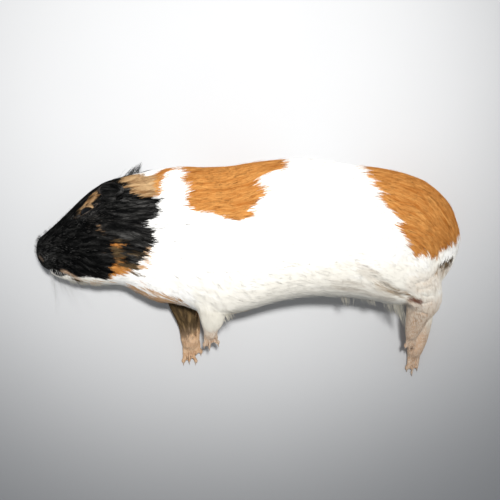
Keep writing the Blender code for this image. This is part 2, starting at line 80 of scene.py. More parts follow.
# The lie of the coat, place by place, in millimetres: a place on the body, the way the hair points,
# its length, how deep the coat is there, and how broad one lock is at its root.
# A place with two heights stands for a left one and its mirror on the right.
LIE = {
    "nose_tip": ((-127, 13, 17), (0.2, 0.9, 0), 1.7, 0.35, 0.28),
    "nose": ((-124, 9, (26, 8)), (0.8, 0.2, 0.5), 1.9, 0.35, 0.28),
    "nose_bridge": ((-116, 29, 18), (0.75, 0.65, 0), 2.8, 0.6, 0.32),
    "muzzle": ((-113, 13, (32, 4)), (0.95, 0.05, 0.3), 3.2, 0.7, 0.34),
    "lip": ((-111, 0, (29, 6)), (0.95, -0.3, 0), 2.4, 0.5, 0.32),
    "chin": ((-108, -6, 17), (1, -0.15, 0), 3, 0.7, 0.34),
    "bridge": ((-104, 40, 18), (0.8, 0.55, 0), 3.4, 0.8, 0.36),
    "brow": ((-96, 43, (33, 6)), (0.9, 0.4, 0.1), 3.2, 0.5, 0.34),
    "lids": ((-96, 35, (37, 2)), (0.9, 0.3, 0.2), 1.6, 0.12, 0.24),
    "under_eye": ((-98, 22, (39, 1)), (1, -0.1, 0.2), 4, 0.9, 0.38),
    "cheek_left": ((-85, 12, 43), (1, -0.15, 0.05), 6.5, 1.5, 0.46),
    "cheek_right": ((-85, 12, 2), (1, -0.15, 0), 6, 1.2, 0.46),
    "jaw": ((-89, -4, (35, 8)), (1, -0.25, 0), 5, 1.2, 0.42),
    "forehead": ((-89, 51, 21), (0.9, 0.4, 0), 4.4, 1, 0.4),
    "crown": ((-75, 57, 22), (1, 0.1, 0), 6.5, 1.5, 0.48),
    "ear_root_left": ((-86, 45, 37), (1, 0.05, 0.2), 3.6, 0.6, 0.36),
    "ear_root_right": ((-84, 48, 7), (1, 0.1, -0.2), 3.6, 0.6, 0.36),
    "ear_left": ((-78, 48, 41), (1, 0.05, 0.1), 2.6, 0.3, 0.28),
    "ear_right": ((-76, 54, 7), (1, 0.1, -0.1), 2.6, 0.3, 0.28),
    "behind_ear_left": ((-66, 45, 42), (1, -0.04, 0.1), 8, 2, 0.58),
    "nape": ((-61, 59, 24), (1, 0.05, 0), 9.5, 2.4, 0.52),
    "neck_left": ((-59, 28, 49), (1, -0.12, 0.1), 9.5, 2.4, 0.52),
    "neck_right": ((-59, 28, 1), (1, -0.12, 0), 8, 1.6, 0.52),
    "throat": ((-71, -11, 22), (1, -0.38, 0), 7.5, 1.7, 0.5),
    "neck_front": ((-54, -19, 27), (0.9, -0.5, 0), 8.5, 2.1, 0.52),
    "withers": ((-39, 62, 29), (1, 0, 0), 11.5, 2.9, 0.56),
    "shoulder_high": ((-30, 42, 55), (1, -0.05, 0), 11.5, 2.9, 0.56),
    "shoulder_left": ((-27, 17, 63), (1, -0.28, 0), 11, 2.8, 0.56),
    "upper_arm_left": ((-23, -11, 55), (0.55, -0.8, 0), 9, 2.1, 0.53),
    "breast": ((-43, -22, 28), (0.7, -0.7, 0), 8.5, 2.1, 0.53),
    "back": ((1, 66, 34), (1, 0.22, 0), 12, 3, 0.58),
    "ribs_high": ((1, 48, 62), (1, 0.26, 0), 12, 3, 0.58),
    "ribs_left": ((1, 27, 69), (1, -0.08, 0), 12, 3, 0.58),
    "low_ribs_left": ((6, -7, 62), (1, -0.3, 0), 11.5, 2.9, 0.58),
    "ribs_right": ((1, 27, 0), (1, -0.1, 0), 11, 1.8, 0.62),
    "belly_front": ((-4, -25, 34), (1, -0.05, 0), 10.5, 2.7, 0.56),
    "belly": ((36, -16, 35), (1, -0.12, 0), 10.5, 2.7, 0.56),
    "belly_left": ((41, -4, 65), (1, -0.24, 0), 11.5, 2.9, 0.58),
    "belly_back": ((70, -16, 35), (0.95, -0.35, 0), 9.5, 2.3, 0.54),
    "loin": ((46, 66, 34), (1, 0.08, 0), 12, 3, 0.58),
    "loin_left": ((52, 45, 66), (1, 0.02, 0), 12, 3, 0.58),
    "flank_left": ((51, 22, 71), (1, -0.12, 0), 12, 3, 0.58),
    "flank_right": ((51, 29, 0), (1, -0.08, 0), 11, 1.8, 0.62),
    "hip": ((86, 61, 32), (1, -0.18, 0), 11.5, 3, 0.56),
    "thigh_left": ((84, 26, 67), (0.92, -0.4, 0), 11, 2.8, 0.55),
    "thigh_right": ((90, 20, 0), (0.9, -0.4, 0), 10, 1.6, 0.58),
    "flank_fold": ((72, -6, 63), (0.85, -0.5, 0), 9, 2, 0.52),
    "thigh_low_left": ((92, 5, 62), (0.75, -0.65, 0), 6.5, 1.3, 0.56),
    "groin_left": ((93, -15, 53), (0.8, -0.55, 0), 4, 0.6, 0.42),
    "knee_left": ((103, -10, 54), (0.35, -0.93, 0), 3.2, 0.45, 0.4),
    "croup": ((111, 51, 30), (0.85, -0.5, 0), 11, 2.8, 0.55),
    "croup_left": ((108, 32, 53), (0.72, -0.68, 0), 10.5, 2.6, 0.55),
    "rump": ((125, 31, 27), (0.15, -1, 0), 9.5, 2.4, 0.53),
    "seat_left": ((113, 8, 50), (0.25, -0.95, 0), 4.6, 0.8, 0.46),
    "seat": ((120, 2, 30), (-0.1, -1, 0), 3.6, 0.5, 0.42),
    "forearm_left": ((-22, -29, 42), (0.05, -0.92, -0.38), 4.5, 0.7, 0.42),
    "forepaw_left": ((-22, -38, 32), (0, -0.9, -0.4), 1.6, 0.15, 0.26),
    "arm_right": ((-40, -21, 19), (0.05, -1, -0.1), 5, 0.9, 0.46),
    "forearm_right": ((-37, -31, 14), (0.1, -1, -0.15), 3.6, 0.5, 0.38),
    "forepaw_right": ((-35, -45, 9), (0, -1, -0.1), 1.4, 0.12, 0.24),
    "shank_left": ((104, -25, 44), (-0.1, -0.9, -0.4), 3, 0.35, 0.36),
    "hindfoot_left": ((101, -37, 29), (-0.2, -0.85, -0.4), 1.6, 0.12, 0.24),
    "shank_right": ((109, -25, 16), (-0.05, -1, -0.1), 3, 0.4, 0.36),
    "hindfoot_right": ((105, -45, 11), (-0.2, -1, -0.1), 1.4, 0.1, 0.24),
}
PRESSED = 0.68  # the hair of a lying animal is pressed flat
lie_rows = []
for (x, y, heights), (*level, up), *sizes in LIE.values():
    for z, turn in zip(heights if isinstance(heights, tuple) else (heights,), (1, -1)):
        lie_rows.append((x, y, z, *level, turn * up, *sizes))
LIE_PLACES, LIE_VALUES = np.split(np.array(lie_rows, float), [3], axis=1)
LIE_VALUES[:, 4] *= PRESSED

EYES = {side: np.array(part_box("eye_" + side)).mean(axis=0) / MM for side in SIDES}
BATCH = 20000  # points handled together, to save memory


def lie_at(points):
    """Way (3), length, depth and breadth of the coat at each point, blended from the nearest places."""
    out = np.empty((len(points), LIE_VALUES.shape[1]))
    for start in range(0, len(points), BATCH):
        part = points[start : start + BATCH]
        apart = np.linalg.norm(part[:, None, :] - LIE_PLACES[None], axis=2)
        weight = 1.0 / (apart + 2.0) ** 4
        out[start : start + BATCH] = weight @ LIE_VALUES / weight.sum(axis=1)[:, None]
    return out


def ripple(points, size, kind=0):
    """A smooth wandering value from about -1 to 1, with hills and hollows about size across."""
    total = np.zeros(len(points))
    for turn in range(5):
        way = math.sin(2.1 * turn + kind), math.cos(1.7 * turn + 2 * kind), math.sin(3.3 * turn + 5 * kind)
        way = np.array(way)
        way *= 2 * math.pi / size / np.linalg.norm(way) * (0.7 + 0.2 * turn)
        total += np.sin(points @ way + 1.3 * turn * (kind + 1))
    return total / 2.6


def mesh_points(mesh):
    """A mesh's points, in millimetres."""
    flat = np.empty(len(mesh.vertices) * 3, np.float32)
    mesh.vertices.foreach_get("co", flat)
    return flat.reshape(-1, 3).astype(float) / MM


def mesh_normals(mesh):
    """The way out of a mesh at each of its points."""
    flat = np.empty(len(mesh.vertices) * 3, np.float32)
    mesh.vertex_normals.foreach_get("vector", flat)
    return flat.reshape(-1, 3).astype(float)


def move_points(mesh, points):
    """Puts a mesh's points in new places, in millimetres."""
    mesh.vertices.foreach_set("co", (points * MM).astype(np.float32).ravel())
    mesh.update()


def add_ball(bm, centre, radii):
    """Adds a ball, longer one way than another."""
    place = Matrix.Translation(Vector(centre) * MM) @ Matrix.Diagonal((*(r * MM for r in radii), 1.0))
    bmesh.ops.create_uvsphere(bm, u_segments=24, v_segments=16, radius=1.0, matrix=place)


def baked_down(shown):
    """The object's mesh with its modifiers applied."""
    bpy.context.view_layer.update()
    graph = bpy.context.evaluated_depsgraph_get()
    shown.data = bpy.data.meshes.new_from_object(shown.evaluated_get(graph))
    shown.modifiers.clear()
    return shown.data


def put_in(name, data):
    """A new object in the scene, at its origin."""
    shown = bpy.data.objects.new(name, data)
    scene.collection.objects.link(shown)
    return shown


def new_piece(name, bm):
    """A new object in the scene, from a mesh that is still being shaped."""
    mesh = bpy.data.meshes.new(name)
    bm.to_mesh(mesh)
    bm.free()
    return put_in(name, mesh)


# Flesh under the ears' roots fills the beds that the solids leave for them.
EAR_ROOTS = {
    "left": ((-80.5, 46.5, 31), (10, 7.5, 5.5)),
    "right": ((-78.5, 50, 12), (9.5, 7, 5.5)),
}

# Each toe ends in a rounded tip under its claw: how far down the claw, and its size.
CLAW_NODES = sorted(node.name for node in bpy.data.objects if node.name.startswith("claw_"))
TOE_TIPS = {"fore": (0.4, (1.6, 2.1, 1.3)), "hind": (0.9, (1.35, 2.2, 1.2))}


def claw_line(node):
    """The middle of a claw's root, the way it points and its length."""
    places = mesh_points(bpy.data.objects[node].data)
    places = places[np.argsort(places[:, 1])]
    tip, root = (Vector(part.mean(axis=0)) for part in (places[:5], places[-5:]))
    return root, (tip - root).normalized(), (tip - root).length


bm = bmesh.new()
for node in HIDE_NODES:
    is_foot = "paw" in node or "foot" in node
    flesh = bmesh.new()
    flesh.from_mesh(bpy.data.objects[node].data)
    bmesh.ops.remove_doubles(flesh, verts=flesh.verts, dist=SAME_SPOT)
    flesh.normal_update()
    low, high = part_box(node)
    for vert in flesh.verts:
        up = min(1.0, 1.5 * (vert.co.y - low[1]) / (high[1] - low[1])) if is_foot else 1.0
        vert.co += vert.normal * (up * SWELL - (1 - up) * TOE_SHRINK) * MM
    swollen = bpy.data.meshes.new(node + "_flesh")
    flesh.to_mesh(swollen)
    flesh.free()
    bm.from_mesh(swollen)
    bpy.data.meshes.remove(swollen)
for centre, radii in EAR_ROOTS.values():
    add_ball(bm, centre, radii)
for node in CLAW_NODES:
    root, way, _ = claw_line(node)
    reach, radii = TOE_TIPS["fore" if "fore" in node else "hind"]
    add_ball(bm, root + way * reach, radii)
hide = new_piece("hide", bm)
remesh = hide.modifiers.new("one skin", "REMESH")
remesh.mode = "VOXEL"
remesh.voxel_size = HIDE_GRAIN * MM
soften = hide.modifiers.new("soften", "SMOOTH")
soften.iterations = 6
hide_mesh = baked_down(hide)
hide_points = mesh_points(hide_mesh)
hide_normals = mesh_normals(hide_mesh)

# Lips, nostrils and folds, each a groove seen from above through a few places along and across the body:
# between which heights it runs, how wide it is and how deep.
HIGH = (36, 90)
LIPS = [(-126, 2), (-121.5, -0.6), (-115, -2), (-109, -3.6), (-104, -5.6)]
NOSTRIL = [(-126.2, 10.6), (-124.6, 7.6), (-122.6, 6)]
GROIN = [(66, 1), (74.5, -5.5), (80.5, -10), (86.7, -14), (94, -15.5), (99, -17.5)]
GROOVES = {
    "mouth_left": (LIPS, (13, 36), 0.8, 1.3),
    "mouth_right": (LIPS, (0, 13), 0.8, 1.3),
    "nostril_left": (NOSTRIL, (19, 34), 0.75, 1.5),
    "nostril_right": (NOSTRIL, (0, 15), 0.75, 1.5),
    "groin": (GROIN, HIGH, 1.7, 1.15),
    "groin_high": ([(70, 2), (77, -4.5), (85, -10), (93, -12.2), (98, -14.5)], HIGH, 1, 0.5),
    "thigh_fold": ([(95, -7), (99, -6.6), (104, -5.6), (109, -2.4), (113, 1.8)], HIGH, 0.9, 1.2),
    "thigh_fold_low": ([(98, -10.6), (103, -10), (109, -8)], HIGH, 0.8, 1),
    "thigh_fold_high": ([(98, 1), (104, 3.4), (111, 8)], HIGH, 0.7, 0.5),
    "knee_fold": ([(100, -14.4), (105, -15), (110, -13.6)], HIGH, 0.7, 0.9),
    "knee_fold_low": ([(101, -19.6), (105, -19), (109, -17.4)], (34, 90), 0.7, 0.8),
    "shank_fold": ([(98, -24), (103, -24.8), (107, -26.4)], (30, 90), 0.6, 0.7),
    "shank_line": ([(98.5, -27), (100.5, -33), (100, -40)], (24, 90), 0.6, 0.5),
    "vent": ([(111, 2.6), (115.5, 4.2), (121, 6.2)], (30, 56), 0.9, 1.4),
    "palm_crease": ([(-36.6, -42), (-36.2, -47), (-36.8, -52)], (5, 16), 0.5, 0.6),
    "wrist_crease": ([(-31.4, -42.6), (-34.4, -43.8)], (3, 16), 0.6, 0.7),
    "sole_crease": ([(101, -44), (102.6, -49), (102, -56)], (6, 16), 0.5, 0.5),
}
# Between two toes runs a groove from between their claws towards the middle of the foot.
FEET = {"fore_left": "forepaw_left", "fore_right": "forepaw_right"}
FEET.update(hind_left="hindfoot_left", hind_right="hindfoot_right")
for foot, node in FEET.items():
    low, high = (np.array(corner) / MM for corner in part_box(node))
    count = 4 if foot.startswith("fore") else 3
    claws_at = [np.array(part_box(f"claw_{foot}_{n + 1}")).mean(axis=0)[:2] / MM for n in range(count)]
    for n, (claw, following) in enumerate(zip(claws_at, claws_at[1:])):
        start = (claw + following) / 2
        track = [tuple(start + ((low + high)[:2] / 2 - start) * share) for share in (-0.45, 0.10, 0.55)]
        depth = 0.7 if foot == "hind_left" else 1.4
        GROOVES[f"toes_{foot}_{n}"] = (track, (low[2] - 1, high[2] + 1), 0.55, depth)

# Pads and swellings: centre, reach and height.
PADS = {
    "palm_right": ((-33.6, -44, 11), 2.6, 0.7),
    "palm_right_outer": ((-38.8, -43, 10), 2.8, 0.6),
    "heel_right": ((106.8, -35, 13), 3.6, 0.5),
    "sole_right": ((104.6, -50, 10), 2.8, 0.5),
    "vent_swelling": ((115.5, -2.4, 42), 2.6, 0.9),
    "nose_pad": ((-127.4, 12, 17.5), 3, 0.4),
}

# The slit between the lids: half its length and width, and its tilt.
SLIT_LENGTH = 6.8
SLIT_WIDTH = 1.35
SLIT_TILT = math.radians(17)
SLIT_SHIFT = (0.3, -1.5)  # the slit's middle on the ball, lengthwise and crosswise
EYE_OUTWARD = {"left": (-0.22, 0.52, 0.82), "right": (-0.22, 0.52, -0.82)}
EYE_BED = 5.5  # within this reach the skin follows the ball, with no depth of coat over it
LID_RIM = 0.32  # how far the lids' rims stand up
SLIT_DEPTH = 1.6
ON_FLOOR, LESS_SUNK = 0.8, 0.35  # skin below this height rests on the floor and sinks less
OFF_FLOOR = 0.12
LIDS_OUT, FAR = 1.5, 99  # the slit reaches only the front of the ball, so the rest counts as far from it


def from_line(points, line):
    """How far each point is from a line of places, and how far along the line its nearest spot is, 0 to 1."""
    line = np.array(line, float)
    apart = np.full(len(points), np.inf)
    along = np.zeros(len(points))
    for n, (start, end) in enumerate(zip(line, line[1:])):
        run = end - start
        share = np.clip((points - start) @ run / (run @ run), 0, 1)
        off = np.linalg.norm(points - start - share[:, None] * run, axis=1)
        along = np.where(off < apart, (n + share) / (len(line) - 1), along)
        apart = np.minimum(apart, off)
    return apart, along


def fade(value, low, high):
    """0 below low, 1 above high and smooth in between."""
    share = np.clip((value - low) / (high - low), 0, 1)
    return share * share * (3 - 2 * share)


def around_slit(points, side):
    """How far from the slit between the lids each point is, 0 in its middle and 1 at its edge, and the
    slit's own reach that way."""
    outward = Vector(EYE_OUTWARD[side]).normalized()
    lengthwise = Vector((math.cos(SLIT_TILT), math.sin(SLIT_TILT), 0))
    lengthwise = (lengthwise - outward * lengthwise.dot(outward)).normalized()
    off = points - EYES[side]
    crosswise = outward.cross(lengthwise)
    crosswise *= 1 if crosswise.y > 0 else -1
    u, v = off @ np.array(lengthwise) - SLIT_SHIFT[0], off @ np.array(crosswise) - SLIT_SHIFT[1]
    share = np.sqrt((u / SLIT_LENGTH) ** 2 + (v / SLIT_WIDTH) ** 2)
    share[off @ np.array(outward) < LIDS_OUT] = FAR
    return share, np.hypot(u, v) / np.maximum(share, 1e-6)


lie = lie_at(hide_points)
sunk = lie[:, 4] + SWELL
for side in EYES:
    apart = np.linalg.norm(hide_points - EYES[side], axis=1)
    sunk = np.where(apart < EYE_BED, 0.0, sunk)
    share, size = around_slit(hide_points, side)
    sunk -= LID_RIM * np.exp(-(((share - 1.2) * size / 0.6) ** 2))
    sunk += SLIT_DEPTH * fade(1.1 - share, 0.0, 0.6)
sunk[hide_points[:, 2] < ON_FLOOR] *= LESS_SUNK
for line, (low, high), width, depth in GROOVES.values():
    apart, along = from_line(hide_points[:, :2], line)
    level = (hide_points[:, 2] > low) & (hide_points[:, 2] < high)
    ends = np.clip(5 * np.minimum(along, 1 - along), 0.15, 1.0)
    sunk += np.where(level, depth * ends * np.exp(-((apart / width) ** 2)), 0.0)
for centre, reach, height in PADS.values():
    apart = np.linalg.norm(hide_points - np.array(centre, float), axis=1)
    sunk -= height * np.exp(-((apart / reach) ** 2))
hide_points = hide_points - hide_normals * sunk[:, None]
hide_points[:, 2] = np.maximum(hide_points[:, 2], OFF_FLOOR)
move_points(hide_mesh, hide_points)

thin = hide.modifiers.new("thin out", "DECIMATE")
thin.ratio = min(1.0, HIDE_TRIANGLES / (2 * len(hide_mesh.polygons)))
hide_mesh = baked_down(hide)
hide_mesh.shade_smooth()
hide_points = mesh_points(hide_mesh)
hide_normals = mesh_normals(hide_mesh)

# ------------------------------
# The markings: a black mask, a buff brow and nape, an orange cheek, saddle and rump on white hair,
# a sable right forearm, cream underneath, and bare skin on the feet, lips and groin.
# Skin and coat are coloured by the same outlines, drawn on the unrolled body.

# The middle of the body at stations from nose to rump: where along it, towards the back, and how high.
CORE = np.array(
    [(-128, 13, 17), (-105, 17, 18.5), (-85, 22, 21), (-65, 22, 23), (-40, 21, 28), (0, 20, 33), (40, 24, 34),
     (80, 21, 32), (110, 23, 28), (128, 24, 26)], float)

# Each outline: how far along the body, and how far round it in degrees, from 0 at the spine
# over the left flank at 90 to the belly at 180, or by the right flank at -90.
OUTLINES = {
    "black": [
        [(-140, -160), (-113, -152), (-103, -144), (-87, -150), (-72, -140), (-58, -112), (-52, -80),
         (-56, -45), (-64, -20), (-68, -6), (-68, 20), (-64, 36), (-57, 42), (-50, 44), (-51, 50),
         (-52, 59), (-53, 67), (-56, 71), (-57, 77), (-56, 81), (-54, 86), (-53, 94), (-53, 100),
         (-54, 105), (-56, 113), (-60, 120), (-63, 129), (-66, 135), (-73, 138), (-77, 143), (-81, 152),
         (-83, 158), (-85, 156), (-88, 153), (-94, 151), (-99, 153), (-103, 153), (-108, 155), (-112, 160),
         (-119, 164), (-128, 166), (-140, 168)],
        [(-24, -6), (-14, 0.5), (-2, 2), (6, -6), (10, -30), (-8, -40), (-24, -28)],
    ],
    "orange": [
        [(-44, -3), (-38, -22), (-15, -40), (8, -42), (21, -18), (21, 10), (22, 16), (23, 23), (21, 29),
         (15, 30), (13, 32.5), (6, 36), (5.5, 41), (10, 46), (11.5, 50), (9, 55), (5, 57), (4, 59),
         (4, 65), (5, 73), (-2, 74), (-8, 74), (-14, 71), (-19, 67), (-23, 62), (-28, 63.5), (-32, 61.5),
         (-34, 54), (-34.5, 46), (-34, 38), (-34, 32), (-38, 27), (-38.5, 22), (-36, 18), (-41, 13)],
        [(68, 20), (64, 10), (65, -6), (74, -30), (82, -55), (92, -80), (102, -102), (114, -108),
         (124, -100), (140, -90), (140, 100), (124, 108), (118, 110), (111, 113), (111, 116), (109, 117),
         (106, 114), (103, 110), (99, 112), (96.5, 113), (94, 105), (91, 99), (88, 93), (85, 86),
         (81.5, 80), (86.5, 76), (84.5, 71), (82, 68), (81, 64), (78, 61), (76.5, 57), (73, 52),
         (76, 47.5), (73.5, 45.5), (71, 41), (74, 36), (69, 32), (71, 24)],
        [(-78, 103), (-71, 104), (-73, 107), (-73, 116), (-74, 126), (-72, 130), (-67, 135), (-73, 141),
         (-77, 147), (-81, 154), (-80, 141), (-79, 129), (-78.5, 110)],
        [(-56, 15), (-54, 10), (-51, 2), (-46, -1), (-43, 11), (-48.5, 15), (-48.5, 22), (-51, 27),
         (-52, 33), (-51.5, 39), (-54, 41), (-56, 40), (-59, 35), (-60, 28), (-59, 21)],
    ],
    "buff": [
        [(-76, 12), (-72, 5), (-65, 5), (-62, 12), (-58, 16), (-55, 15), (-55, 28), (-54, 40), (-56, 41),
         (-60, 40), (-64, 37), (-67.5, 35), (-69, 30), (-71.5, 26), (-77.5, 30), (-78, 28), (-69, 24),
         (-70, 21), (-76, 18)],
        [(-100, 37), (-99.4, 33), (-97.2, 28.5), (-94.8, 24), (-92.5, 20.5), (-91, 21), (-89.8, 24),
         (-89.4, 29), (-89.8, 32.5), (-91.4, 35), (-93.7, 36.5), (-96, 38), (-98.5, 40)],
    ],
    "cream": [
        [(-140, 156), (-113, 148), (-104, 143), (-87, 149), (-80, 158), (-80, 202), (-87, 211),
         (-104, 217), (-113, 210), (-140, 204)],
        [(-34, 140), (-10, 128), (30, 118), (70, 112), (100, 112), (118, 120), (122, 180), (118, 240),
         (70, 248), (-10, 232), (-34, 220)],
    ],
    "tan": [
        [(-74, 164), (-63, 147), (-57, 149), (-48, 153), (-38, 159), (-34, 183), (-45, 200), (-62, 200),
         (-78, 190)],
    ],
}
TAN_MOST, CREAM_MOST, CREAM_LEGS = 0.72, 0.5, 0.7  # how strong these are at most
DEGREE = 0.6  # millimetres round the body to a degree
LEGS_BELOW, LEGS_BEHIND = -22, -48  # here the outlines end and the legs begin
# How far an edge strays, and over what width it fades.
RAGGED = {"black": 0.8, "orange": 1.0, "buff": 0.6, "cream": 7.0, "tan": 2.5}
SOFT = {"black": 0.4, "orange": 0.5, "buff": 0.7, "cream": 9.0, "tan": 3.0}


def unrolled(points):
    """Each point's place along the body and its angle round it, in degrees."""
    middle = np.stack([np.interp(points[:, 0], CORE[:, 0], CORE[:, axis]) for axis in (1, 2)], axis=1)
    off = points[:, 1:] - middle
    return np.stack([points[:, 0], np.degrees(np.arctan2(off[:, 1], off[:, 0]))], axis=1)


def inside_by(flat, outline):
    """How far each point lies inside an outline, in millimetres, and below zero outside it."""
    scale = np.array([1.0, DEGREE])
    best = np.full(len(flat), -1e9)
    for lap in (-360, 0, 360):
        place = (flat + (0, lap)) * scale
        ring = np.array(outline, float) * scale
        within = np.zeros(len(place), bool)
        apart = np.full(len(place), 1e9)
        for a, b in zip(ring, np.roll(ring, -1, axis=0)):
            run = b - a
            share = np.clip((place - a) @ run / (run @ run), 0, 1)
            apart = np.minimum(apart, np.linalg.norm(place - a - share[:, None] * run, axis=1))
            crosses = (a[1] > place[:, 1]) != (b[1] > place[:, 1])
            rise = run[1] if run[1] else 1e-9
            within ^= crosses & (place[:, 0] < a[0] + (place[:, 1] - a[1]) * run[0] / rise)
        best = np.maximum(best, np.where(within, apart, -apart))
    return best


# Places marked by lines: the line, how far round it the mark reaches, and how strong it is.
PLACES = {}
PLACES["bare"] = {
    "lip_corner_left": ([(-109.5, -1.4, 30), (-101.5, -5, 28)], 2.9, 0.85),
    "lip_front": ([(-126, 2, 17), (-121, -1, 25), (-110, -3, 29)], 1.4, 0.2),
    "nostril_rim_left": ([(-126.4, 10.6, 23), (-124.6, 7.6, 26), (-122.6, 6, 27)], 1.2, 0.1),
    "nostril_rim_right": ([(-126.4, 10.6, 11), (-124.6, 7.6, 8), (-122.6, 6, 7)], 1.2, 0.1),
    "inner_groin": ([(95, -20, 44), (99, -22, 45)], 6, 0.7),
    "groin_edge": ([(95, -19.4, 48), (101, -20.8, 48)], 3.4, 0.8),
    "seat_skin": ([(96, -6, 56), (110, -4, 50)], 9, 0.3),
    "vent_skin": ([(113, 0, 46), (120, 4, 38)], 4.2, 0.25),
}
PLACES["rust"] = {"groin": ([(95.4, -17.3, 50), (100, -18.4, 51)], 3.3, 0.95)}
PLACES["sable"] = {
    "vent": ([(113.6, 3.9, 50), (120, 5.4, 43)], 3.7, 0.84),
    "cheek": ([(-71, 15, 46), (-64, 9, 47)], 6, 0.22),
    "cheek_low": ([(-71, 4, 45), (-65, 0, 44)], 4.5, 0.6),
    "cheek_patch": ([(-77, 17, 46), (-76, 9, 45), (-74, 4, 43)], 3.8, 0.72),
    "behind_eye": ([(-90, 28, 38), (-80, 30, 43), (-66, 30, 46)], 8, 0.08),
    "brow": ([(-101, 35, 31), (-95, 41, 32), (-92, 45, 31)], 2.6, 0.38),
    # The dark at the mouth's corner is the painted shadow of the lower lip in its crease.
    "mouth_corner": ([(-107, -5.6, 27), (-101, -7.2, 25)], 2.8, 1),
    "arm_right": ([(-45, -14, 18), (-42, -26, 18), (-40, -33, 14)], 15, 1),
    "arm_right_back": ([(-37, -18, 18), (-35, -31, 16)], 10, 0.75),
}
# Grey-brown over the white: painted shade in the groin's fold, along the low flank, by the knee and below the
# swelling by the vent; the groin's streaks are grey-brown hair.
PLACES["grey_hair_and_shade"] = {
    "groin_fold": ([(76, -7.8, 60), (82, -11, 57), (88, -13.4, 54), (95, -16, 50)], 5.2, 0.62),
    "groin_streaks": ([(64, 3, 66), (70, -2, 64), (78, -7, 60)], 4.4, 0.26),
    "low_flank": ([(52, -7, 61), (66, -10, 57), (80, -15, 50)], 8, 0.26),
    "knee": ([(102, -12, 53), (107, -9, 52)], 8, 0.22),
    "swelling": ([(111, 0.5, 52), (118, -1, 42)], 5, 0.45),
}
PLACES["tan"] = {
    "cheek_edge": ([(-57, 14, 50), (-59, 6, 48), (-63, 0, 45)], 2.6, 0.5),
    "elbow": ([(-14, -24, 36), (-5, -24, 36)], 6.5, 0.5),
    "eye_corner": ([(-87, 26, 42), (-84.5, 22, 43)], 2.2, 0.15),
    "jaw": ([(-98, -8, 26), (-88, -8, 30), (-82, -7, 32)], 5, 0.42),
    "paw_right": ([(-37, -34, 9), (-36, -58, 4)], 16, 1),
    # The flank's fold: partly beige hair, partly painted shade of the fold.
    "flank_fold": ([(86, -12, 56), (96, -14, 52)], 3.5, 0.16),
    "arm_right": ([(-38, -20, 16), (-35, -29, 15), (-34, -38, 11)], 14, 1),
}

# The limbs: middle line, reach, where along it the bare skin starts and is full, and how bare it is.
LIMBS = {
    "fore_right": ([(-38, -28, 8), (-36, -42, 5), (-36, -62, 3)], 13, 0.14, 0.5, 0.6),
    "fore_left": ([(-22, -30, 36), (-22.6, -40, 28), (-23, -50, 22)], 9, 0, 0.55, 1),
    "hind_left": ([(104, -4, 50), (104, -18, 42), (101, -34, 28), (98, -52, 17)], 13, 0.08, 0.52, 0.95),
    "hind_right": ([(109, -18, 10), (106, -42, 6), (102, -70, 3)], 12, 0.1, 0.45, 1),
}

KINDS = ["black", "orange", "buff", "cream", "sable", "bare", "rust", "tan", "grey_hair_and_shade"]
BLACK_AT, ORANGE_AT, BUFF_AT, CREAM_AT, SABLE_AT, BARE_AT, _, TAN_AT, GREY_HAIR_AND_SHADE_AT = range(len(KINDS))


def near(points, line, reach, most):
    """The mark's full strength close to a line of places, fading to 0 at its reach."""
    return most * (1 - fade(from_line(points, line)[0], 0.45 * reach, reach))


def markings(points):
    """Shares of each colour at each point, in the order of KINDS."""
    flat = unrolled(points)
    waver = ripple(points * (0.45, 1.0, 1.0), 9.0, 1) + 0.5 * ripple(points * (0.3, 1.0, 1.0), 3.0, 2)
    legs = (points[:, 1] < LEGS_BELOW) & (points[:, 0] > LEGS_BEHIND)
    share = {}
    for name, outlines in OUTLINES.items():
        deep = np.max([inside_by(flat, outline) for outline in outlines], axis=0)
        share[name] = np.where(legs, 0, fade(deep + waver * RAGGED[name], -SOFT[name], SOFT[name]))
    share["tan"] = TAN_MOST * share["tan"]
    share["cream"] = np.maximum(CREAM_MOST * share["cream"], np.where(legs, CREAM_LEGS, 0))
    for name, places in PLACES.items():
        marked = [near(points, *place) for place in places.values()]
        share[name] = np.max([share.get(name, np.zeros(len(points))), *marked], axis=0)
    for line, reach, start, full, most in LIMBS.values():
        apart, along = from_line(points, line)
        limb = (1 - fade(apart, 0.75 * reach, reach)) * fade(along + 0.05 * waver, start, full) * most
        share["bare"] = np.maximum(share["bare"], limb)
    for side in EYES:
        rim, size = around_slit(points, side)
        # A thin bare line round the slit: the lids' own skin, with a painted glint on their wet rims.
        share["bare"] = np.maximum(share["bare"], 0.11 * np.exp(-(((rim - 1.2) * size / 0.4) ** 2)))
        for name in ("buff", "orange"):
            share[name] = share[name] * fade(rim, 1.3, 1.8)
    return np.stack([share[name] for name in KINDS], axis=1)


# The colour attributes, three kinds to each; along and chance are a strand's own.
LAYERS = {
    "marks": ["black", "orange", "buff"],
    "skin_marks": ["sable", "bare", "rust"],
    "strand": ["tan", "along", "chance"],
    "pale_marks": ["cream", "grey_hair_and_shade", "nothing"],
}


def give_colours(mesh, marks, along, strand_chance):
    """Stores the shares of the colours and the strand values on a mesh, point by point."""
    whole = np.ones(len(marks))
    columns = dict(zip(KINDS, marks.T), along=along, chance=strand_chance, nothing=0 * whole)
    for name, kinds in LAYERS.items():
        values = np.stack([columns[kind] for kind in kinds] + [whole], axis=1)
        layer = mesh.color_attributes.new(name, "FLOAT_COLOR", "POINT")
        layer.data.foreach_set("color", values.astype(np.float32).ravel())


give_colours(hide_mesh, markings(hide_points), 0 * hide_points[:, 0], 0.5 + 0.4 * ripple(hide_points, 5.0, 3))

